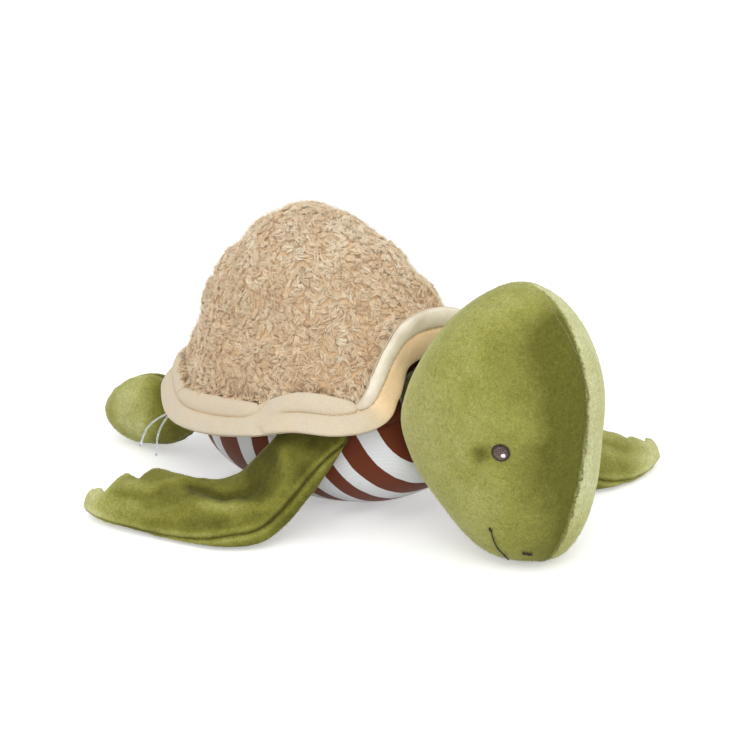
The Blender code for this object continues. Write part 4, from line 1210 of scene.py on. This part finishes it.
def grid_normals(points):
    onward = np.gradient(points, axis=0)
    around = np.roll(points, -1, 1) - np.roll(points, 1, 1)
    normals = unit(np.cross(around, onward))
    flip = (normals * (points - SHELL_MIDDLE)).sum(-1) < 0
    return np.where(flip[..., None], -normals, normals)


def tufted(points, heights):
    """The dome with the pile's lumps, one pitch apart and none at the foot."""
    x, y, z = np.moveaxis(points * math.pi / TUFT_PITCH, -1, 0)
    waves = np.sin(x) * np.cos(y) + np.sin(y) * np.cos(z) + np.sin(z) * np.cos(x)
    rise = TUFT_RISE * waves * np.clip(heights / 0.12 - 1, 0, 1)
    return points + unit(points - SHELL_MIDDLE) * rise[..., None]


def build_shell(torso):
    dome, apex = dome_grid(10, 5)
    heights = (dome[..., 2] - dome[:1, :, 2]) / (apex[2] - dome[:1, :, 2])
    dome = tufted(dome, heights)
    normals = grid_normals(dome)
    lumps = noise(dome, 0.009, 31) * 0.5 * MM + noise(dome, 0.004, 32) * 0.3 * MM
    base = dome + normals * (lumps - BACKING_DEPTH)[..., None]
    inner = base - normals * BACKING_THICKNESS
    turned = base.transpose(1, 0, 2)
    # The backing is painted darker than the tufts, as painted shade in the gaps between them
    shade = 0.22 + 0.12 * noise(turned, 0.006, 33)
    values = {"shade": np.concatenate([shade.ravel()] * 2), "tip": np.full(2 * shade.size, 0.12)}
    make_piece("shell_backing", *ring_shell(turned, inner.transpose(1, 0, 2)), fur, "torso",
               "curly_pile_sand", ("shell_fur",), values, 0.85)
    add_shell_filling(torso, (base - normals * SHELL_FILLING_DEPTH)[::3, ::3], apex)
    closed = np.concatenate([base, base[:, :1]], 1)
    normals = grid_normals(base)
    normals = np.concatenate([normals, normals[:, :1]], 1)
    add_curls(closed, normals)
    add_haze(closed, normals)


def add_shell_filling(torso, rings, apex):
    """The filling inside these rings, with a floor that lies on the torso."""
    tree = grid_tree(np.concatenate([torso.rings, torso.rings[:, :1]], 1))
    floor = []
    for share in (0.0, 0.2, 0.4, 0.6, 0.8, 0.93):
        ring = []
        for place in rings[0]:
            x, y = place[0] * share, SHELL_APEX_BACK + (place[1] - SHELL_APEX_BACK) * share
            hit = tree.ray_cast(Vector((x, y, 0.3)), Vector((0, 0, -1)))[0]
            height = place[2] - 2 * MM if hit is None else hit.z + 1.0 * MM
            ring.append((x, y, max(height, 0.04)))
        floor.append(ring)
    rings = np.concatenate([np.array(floor)[1:], rings])
    make_piece("shell_filling", *closed_rings(rings, np.array(floor[0]).mean(0),
                                              apex - (0, 0, 9.5 * MM)),
               filling, "torso", "polyester_filling", ("shell_stuffing",), pad=0.8)


STRAND_SIDES = 3
STRAND_POINTS = 2 * STRAND_SIDES + 2  # two rings and a point at both ends


def swept_rings(path, normals, thick):
    """Rings of points round the two middle steps of many paths: paths, steps, sides, place."""
    along = unit(np.gradient(path, axis=1))
    first = unit(np.cross(along, normals[:, None]))
    second = np.cross(first, along)
    path, first, second = path[:, 1:3], first[:, 1:3], second[:, 1:3]
    angle = 2 * np.pi * np.arange(STRAND_SIDES) / STRAND_SIDES
    thick = thick[:, :, None, None]
    return (path[:, :, None] + np.cos(angle)[:, None] * first[:, :, None] * thick
            + np.sin(angle)[:, None] * second[:, :, None] * thick)


def add_strands(name, rings, path, shade, tips):
    """One piece of many closed strands, each two rings with a point at both ends."""
    count = len(rings)
    points = np.concatenate([rings.reshape(count, -1, 3), path[:, :1], path[:, -1:]], 1)
    points[..., 2] = np.minimum(points[..., 2], SHELL_APEX_HEIGHT + 3 * MM)
    k = np.arange(STRAND_SIDES)
    n = (k + 1) % STRAND_SIDES
    last = STRAND_SIDES
    quads = np.stack([k, n, last + n, last + k], -1)
    ends = np.concatenate([np.stack([n, k, 0 * k + STRAND_POINTS - 2], -1),
                           np.stack([last + k, last + n, 0 * k + STRAND_POINTS - 1], -1)])
    start = np.arange(count)[:, None, None] * STRAND_POINTS
    faces = facing_out(points, [(start + quads).reshape(-1, 4), (start + ends).reshape(-1, 3)])
    values = {"shade": np.repeat(shade, STRAND_POINTS), "tip": np.tile(tips, count)}
    make_piece(name, points, faces, fur, "torso", "curly_pile_sand", values=values)


def spaced(points, gap):
    """The points that are left when each keeps its distance from those before it."""
    tree = KDTree(len(points))
    for index, place in enumerate(points):
        tree.insert(place, index)
    tree.balance()
    kept = np.ones(len(points), bool)
    for index, place in enumerate(points):
        if kept[index]:
            for _, other, _ in tree.find_range(place, gap):
                if other > index:
                    kept[other] = False
    return kept


def flattened(directions, normals):
    """The directions, turned into the surface with these normals."""
    return unit(directions - normals * (directions * normals).sum(-1, keepdims=True))


def add_curls(base, normals):
    """Tufts of fine fibres that rise from the backing, turn over and draw together."""
    where, n, _, rng = scatter(base, normals, TUFT_TRIES, 77)
    kept = spaced(where, TUFT_GAP)
    where, n = where[kept], n[kept]
    low, low_n, _, _ = scatter(base[1:5], normals[1:5], SKIRT_TUFTS, 78)
    skirt = np.concatenate([np.zeros(len(where)), np.ones(len(low))])[:, None]
    where, n = np.concatenate([where, low]), np.concatenate([n, low_n])
    count = len(where)
    drift = np.stack([noise(where, 0.012, 80 + k) for k in range(3)], -1) * 1.5
    t = drift + rng.normal(0, 0.6, (count, 3)) + (0, 0, -0.2) - skirt * (0, 0, 1.2)
    t = flattened(t, n)
    b = np.cross(n, t)
    length = rng.uniform(*TUFT_LENGTH, count)[:, None] * MM
    height = (rng.uniform(*TUFT_HEIGHT, count)[:, None] + skirt * SKIRT_RISE) * MM
    bend = rng.normal(0, 0.6, count)[:, None]
    spread = rng.uniform(0.25, 1.1, count)[:, None]
    # Each tuft's tone at random, with painted light that makes the tufts on top paler
    tone_and_top_light = np.clip(0.50 + 0.25 * noise(where, 0.011, 90) + rng.normal(0, 0.15, count)
                   + 0.22 * ease(where[:, 2], 0.120, 0.172), 0, 1)

    tuft = np.repeat(np.arange(count), FIBRES)
    many = len(tuft)
    s = np.array((0.0, 0.36, 0.72, 1.0))
    turn = rng.uniform(0, 2 * math.pi, many)[:, None]
    away = rng.uniform(0.1, 1, many)[:, None] ** 0.5 * TUFT_SPREAD * MM
    own_height = height[tuft] * rng.normal(1, 0.13, (many, 1))
    own_length = length[tuft] * rng.normal(1, 0.12, (many, 1))
    gather = 1 - s * (1 - 0.75 * spread[tuft])
    ahead = own_length * (0.62 * s - 0.28) + np.cos(turn) * away * gather
    above = own_height * np.sin(2.7 * s) - 1.3 * MM + rng.normal(0, 0.28, (many, 1)) * MM * s
    beside = (own_length * bend[tuft] * s**2 * 0.50 + np.sin(turn) * away * gather
              + 0.35 * MM * np.sin(6 * s + turn * 3) + rng.normal(0, 0.55, (many, 1)) * MM * s)
    path = (where[tuft][:, None] + t[tuft][:, None] * ahead[..., None]
            + n[tuft][:, None] * above[..., None] + b[tuft][:, None] * beside[..., None])
    thick = rng.uniform(*FIBRE_RADIUS, many)[:, None] * MM * np.array((1.0, 0.9))
    rings = swept_rings(path, n[tuft], thick)
    shade = np.clip(tone_and_top_light[tuft] + rng.normal(0, 0.10, many), 0, 1)
    tips = np.concatenate([np.repeat(s[1:3], STRAND_SIDES), (0.0, 1.0)])
    order = np.argsort(where[tuft, 2], kind="stable")
    for index, chosen in enumerate(np.array_split(order, 5)):
        name = "shell_pile_" + str(index + 1)
        add_strands(name, rings[chosen], path[chosen], shade[chosen], tips)


def add_haze(base, normals):
    """Single fine hairs that stand out past the tufts and soften the outline."""
    where, n, _, rng = scatter(base[3:], normals[3:], HAIRS, 79)
    clear = where[:, 1] > HAIRS_FROM
    where, n = where[clear], n[clear]
    count = len(where)
    aside = flattened(rng.normal(0, 1, (count, 3)), n)
    reach = rng.uniform(*HAIR_REACH, count)[:, None] * MM
    over = rng.uniform(*HAIR_OVER, count)[:, None] * MM
    path = np.stack([where + n * reach * up + aside * over * out
                     for up, out in ((0.1, 0.0), (0.45, 0.3), (0.8, 0.9), (1.0, 1.8))], 1)
    thick = np.full((count, 2), HAIR_RADIUS * MM) * np.array((1.0, 0.85))
    rings = swept_rings(path, n, thick)
    shade = rng.uniform(0.6, 1.0, count)
    add_strands("shell_hairs", rings, path, shade, np.full(STRAND_POINTS, 0.9))


# Rim

def petal_bulge(turn):
    """1 in the middle of a petal and less at each notch."""
    first_place, first_share = RIM_NOTCHES[0]
    last_place, last_share = RIM_NOTCHES[-1]
    beyond = 2 * (len(SHELL_FOOT_ROWS) - 1) - last_place
    edges = [(-first_place, first_share), *RIM_NOTCHES, (beyond, last_share)]
    bulge = np.zeros(len(turn))
    for (first, low), (last, high) in zip(edges, edges[1:]):
        inside = (turn >= first) & (turn <= last)
        along = np.clip((turn - first) / (last - first), 0, 1)
        least = low + (high - low) * along
        bulge = np.where(inside, least + (1 - least) * np.sin(np.pi * along) ** 0.5, bulge)
    return bulge


def channel(v, low, high, amount):
    """The swell of one padded channel between two lines across the rim."""
    u = np.clip((v - low) / np.maximum(high - low, 1e-4), 0, 1)
    full = np.clip((high - low) / 0.8, 0, 1) ** 0.5
    return amount * full * (4 * u * (1 - u)) ** 0.50


ARCH_SPLIT = 0.18  # how far above the middle line the arch's valley runs
LEAF_FROM, LEAF_TO = 6.62, 7.12  # the turns between which the front petal runs out
RIM_REACH = 0.97  # the share across the rim that counts as its edge


def arch_split(turn):
    return ARCH_SPLIT * (1 - ease(turn, 3.3, 4.7))


def valley_line(turn):
    """Where the stitched valley runs across the rim, up to the front petal's end."""
    return arch_split(turn) - 0.16 * ease(turn, 6.1, 7.1)


def rim_swell(t, w):
    """How far the rim's channels are filled, from 0 in a valley to about 1 on a crown."""
    split, leaf_top = arch_split(t), valley_line(t)
    leaf_low = -1.0 + 0.86 * ease(t, LEAF_FROM, LEAF_TO)
    inner_top = 1.0 - ease(t, LEAF_FROM, 7.30)
    sway_low = leaf_top - (1 + leaf_top) * ease(t, 6.25, 7.0)
    front = t < LEAF_TO
    height = channel(w, np.where(front, leaf_low, -1.0), np.where(front, leaf_top, -1.0), 1.0)
    inside = front & (w > leaf_low) & (w < leaf_top)
    leaf = np.where(inside, height * (1 - 0.3 * split / ARCH_SPLIT), 0)
    lift = ease(t, 6.0, 6.7) * 0.38
    leaf = np.where(leaf > 0, leaf * (1 - 0.45 * ease(t, 6.6, LEAF_TO)) + lift, 0)
    sway = channel(w, sway_low, inner_top, 0.97)
    top = np.where(t > LEAF_FROM, channel(w, inner_top, 1.0, 0.90), 0)
    return np.maximum(np.maximum(leaf, sway), top)


def build_rim():
    places, out, up, turn = shell_foot(20)
    down_arch = np.minimum(turn / RIM_NOTCHES[0][0], 1) ** 2
    flare = RIM_FLARE * down_arch
    upper = (RIM_UPPER_WIDTH * (1 - (1 - RIM_SIDE_UPPER) * down_arch)
             - RIM_PETAL_DIP * (1 - petal_bulge(turn)))
    lower = RIM_LOWER_WIDTH * (1 - (1 - RIM_SIDE_LOWER) * down_arch)
    rows = smooth(RIM_ROWS, 7)
    rows = np.vstack([rows[:1] + (-0.012, 0.03, -0.12), rows, rows[-1:] + (0.02, -0.03, -0.15)])
    o, v, lining = rows.T
    width = np.where(v[None, :] > 0, upper[:, None], lower[:, None])
    flat = np.stack([o[None, :] * flare[:, None], v[None, :] * width], -1)
    run = unit(np.gradient(flat, axis=1))
    across = np.stack([-run[..., 1], run[..., 0]], -1)

    def in_space(plane):
        return places[:, None] + out[:, None] * plane[..., :1] + up[:, None] * plane[..., 1:]

    t, w = turn[:, None], v[None, :] / RIM_REACH
    body = rim_swell(t, w)
    spot = in_space(flat)
    crinkle = noise(spot, 0.012, 51) * 0.13 + noise(spot, 0.0055, 52) * 0.08
    lift = 0.30 + body * (0.48 + crinkle)
    front = in_space(flat + across * (lift * RIM_PUFF)[..., None])
    rear = in_space(flat + across * (RIM_SEAM / 2))
    valley = bell(body, 0.38) * (np.abs(w) < 0.80)
    inner_side = ease(arch_split(t) - w, -0.10, 0.12)
    arch = 1 - ease(t, 3.4, 4.6)
    # Painted shade in the stitched valleys; warmer on the arch's inner band and paler on its outer
    # band; and random warmth
    warm = (0.10 + 0.55 * valley + arch * (1.20 * inner_side - 0.42)
            + 0.12 * noise(front, 0.02, 53) + 0.08 * noise(front, 0.007, 54))
    values = {"nap": np.concatenate([warm.ravel()] * 2)}
    make_piece("rim_petals", *ring_shell(front, rear), cream_velour, "torso", "velour_cream",
               ("rim_top",), values, 0.7)

    puff = RIM_SEAM / 2 + (np.maximum(lining, 0.1) * RIM_LINING_PUFF)[None, :]
    near, far = in_space(flat - across * (RIM_SEAM / 2)), in_space(flat - across * puff[..., None])
    columns = sorted({*range(0, len(v), 2), len(v) - 1})
    points, faces = ring_shell(near[::2, columns], far[::2, columns])
    make_piece("rim_lining", points, faces, cream_velour, "torso", "velour_cream",
               ("rim_under",), {"nap": np.full(len(points), 0.35)}, 0.5)
    add_topstitch(turn, v / RIM_REACH, front)


STITCH_PITCH = 4.2 * MM
STITCH_LENGTH = 2.9 * MM


def add_topstitch(turn, v, front):
    """Short threads along the valleys of the petals."""
    line = []
    order = np.argsort(v)
    for t, row in zip(turn, front[:, order]):
        if 6.95 <= t <= 7.25:
            line.append(None)
            continue
        share = float(valley_line(t)) if t < 6.95 else 0.0
        line.append(np.array([np.interp(share, v[order], row[:, a]) for a in range(3)]))
    stitches, run, current = [], [], 0.0
    middle = np.array((0, SHELL_APEX_BACK, 0.075))
    previous = None
    for place in line + line[:1]:
        if place is None:
            previous, run = None, []
            continue
        if previous is not None:
            current += np.linalg.norm(place - previous)
        previous = place
        if current % STITCH_PITCH < STITCH_LENGTH:
            run.append(place)
            continue
        if len(run) > 2:
            path = np.array(run)
            outward = unit(path.mean(0) - middle)
            arc = np.sin(np.linspace(0, math.pi, len(path)))[:, None]
            stitches.append(tube(path + outward * (0.05 + 0.30 * arc) * MM, 0.24 * MM, 6))
        run = []
    make_piece("rim_topstitch", *joined(stitches), cream_thread, "torso", "velour_cream")


# Strands

def build_strands():
    for name, bow in (("strand_front", 2.4), ("strand_rear", 3.4)):
        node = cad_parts[name]
        co = np.array([p.co for p in node.data.vertices])
        high, low = co[co[:, 2].argmax()], co[co[:, 2].argmin()]
        out = unit((low - high) * (1, 1, 0))
        s = np.linspace(0, 1, 26)[:, None]
        path = high + (low - high) * s + (out + (0, 0, 0.6)) * bow * MM * np.sin(np.pi * s)
        path[:, 2] = np.minimum(path[:, 2], high[2] - 0.2 * MM)
        radius = 0.56 * MM * (1 + 1.3 * bell(s[:, 0] - 0.97, 0.035))
        make_piece(name + "_nylon", *tube(path, radius, 12), clear_nylon, "strands",
                   "clear_nylon", (name,))


# Stage

FLOOR_REACH = 3.0
LAMP_AIM = Vector((0, -0.03, 0.08))
# Name, place, size and power
LAMPS = (
    ("key", (-0.62, -0.50, 1.22), 1.1, 6.2), ("fill", (0.55, -1.2, 0.7), 1.2, 1.2),
    ("front", (-1.05, -1.05, 0.75), 1.1, 3.6),
)


def seen_directly(tree):
    """1 for rays that come from the camera, off gloss or through something clear."""
    path = add_node(tree, "LightPath").outputs
    seen = add_math(tree, "MAXIMUM", path["Is Camera Ray"], path["Is Glossy Ray"])
    return add_math(tree, "MAXIMUM", seen, path["Is Transmission Ray"])


def build_stage():
    mesh = bpy.data.meshes.new("floor")
    signs = ((-1, -1), (1, -1), (1, 1), (-1, 1))
    corners = [(x * FLOOR_REACH, y * FLOOR_REACH, 0) for x, y in signs]
    mesh.from_pydata(corners, [], [(0, 1, 2, 3)])
    floor = bpy.data.objects.new("floor", mesh)
    bpy.context.scene.collection.objects.link(floor)
    material, tree = start_material(
        "pale_floor",
        {"Roughness": 0.9, "Specular IOR Level": 0.1, "Emission Color": (1, 1, 1, 1)})
    tint = add_ramp(tree, add_noise(tree, 6, 2.0),
                    ((0.3, (0.86, 0.86, 0.87)), (0.7, (0.88, 0.88, 0.885))))
    glow = add_math(tree, "MULTIPLY", seen_directly(tree), 0.40)
    tree.links.new(glow, tree.nodes["Principled BSDF"].inputs["Emission Strength"])
    mesh.materials.append(finish_material(material, tint))

    world = bpy.data.worlds.new("studio")
    bpy.context.scene.world = world
    world.use_nodes = True
    tree = world.node_tree
    background = tree.nodes["Background"]
    background.inputs["Color"].default_value = (1, 1, 1, 1)
    inputs = {"Value": seen_directly(tree), "To Min": 0.76, "To Max": 1.0}
    strength = add_node(tree, "MapRange", inputs).outputs[0]
    tree.links.new(strength, background.inputs["Strength"])
    for name, place, size, power in LAMPS:
        data = bpy.data.lights.new(name, "AREA")
        data.size = size
        data.energy = power
        lamp = bpy.data.objects.new(name, data)
        lamp.location = place
        lamp.rotation_euler = (LAMP_AIM - lamp.location).to_track_quat("-Z", "Y").to_euler()
        bpy.context.scene.collection.objects.link(lamp)
    bpy.context.scene.view_settings.view_transform = "Standard"


# The camera, fitted to the photograph's outlines
CAMERA_TURN = math.radians(-45.15)
CAMERA_RISE = math.radians(17.62)
CAMERA_DISTANCE = 1.2
CAMERA_AIM = Vector((0.01361, -0.01368, 0.0794))
SENSOR = 36.0
PIXELS_PER_MM = 1.6024  # at the aim, in a picture this many pixels wide
PICTURE_WIDTH = 730


def build_camera():
    back = Vector((math.sin(CAMERA_TURN) * math.cos(CAMERA_RISE),
                   -math.cos(CAMERA_TURN) * math.cos(CAMERA_RISE), math.sin(CAMERA_RISE)))
    data = bpy.data.cameras.new("camera")
    data.sensor_width = SENSOR
    data.lens = SENSOR * PIXELS_PER_MM * CAMERA_DISTANCE * 1000 / PICTURE_WIDTH
    data.clip_start, data.clip_end = 0.05, 20
    camera = bpy.data.objects.new("camera", data)
    camera.location = CAMERA_AIM + back * CAMERA_DISTANCE
    camera.rotation_euler = (-back).to_track_quat("-Z", "Y").to_euler()
    bpy.context.scene.collection.objects.link(camera)
    bpy.context.scene.camera = camera


build_camera()
build_stage()
torso = build_torso()
add_face(build_head())
build_limbs()
build_neck()
build_shell(torso)
build_rim()
build_strands()
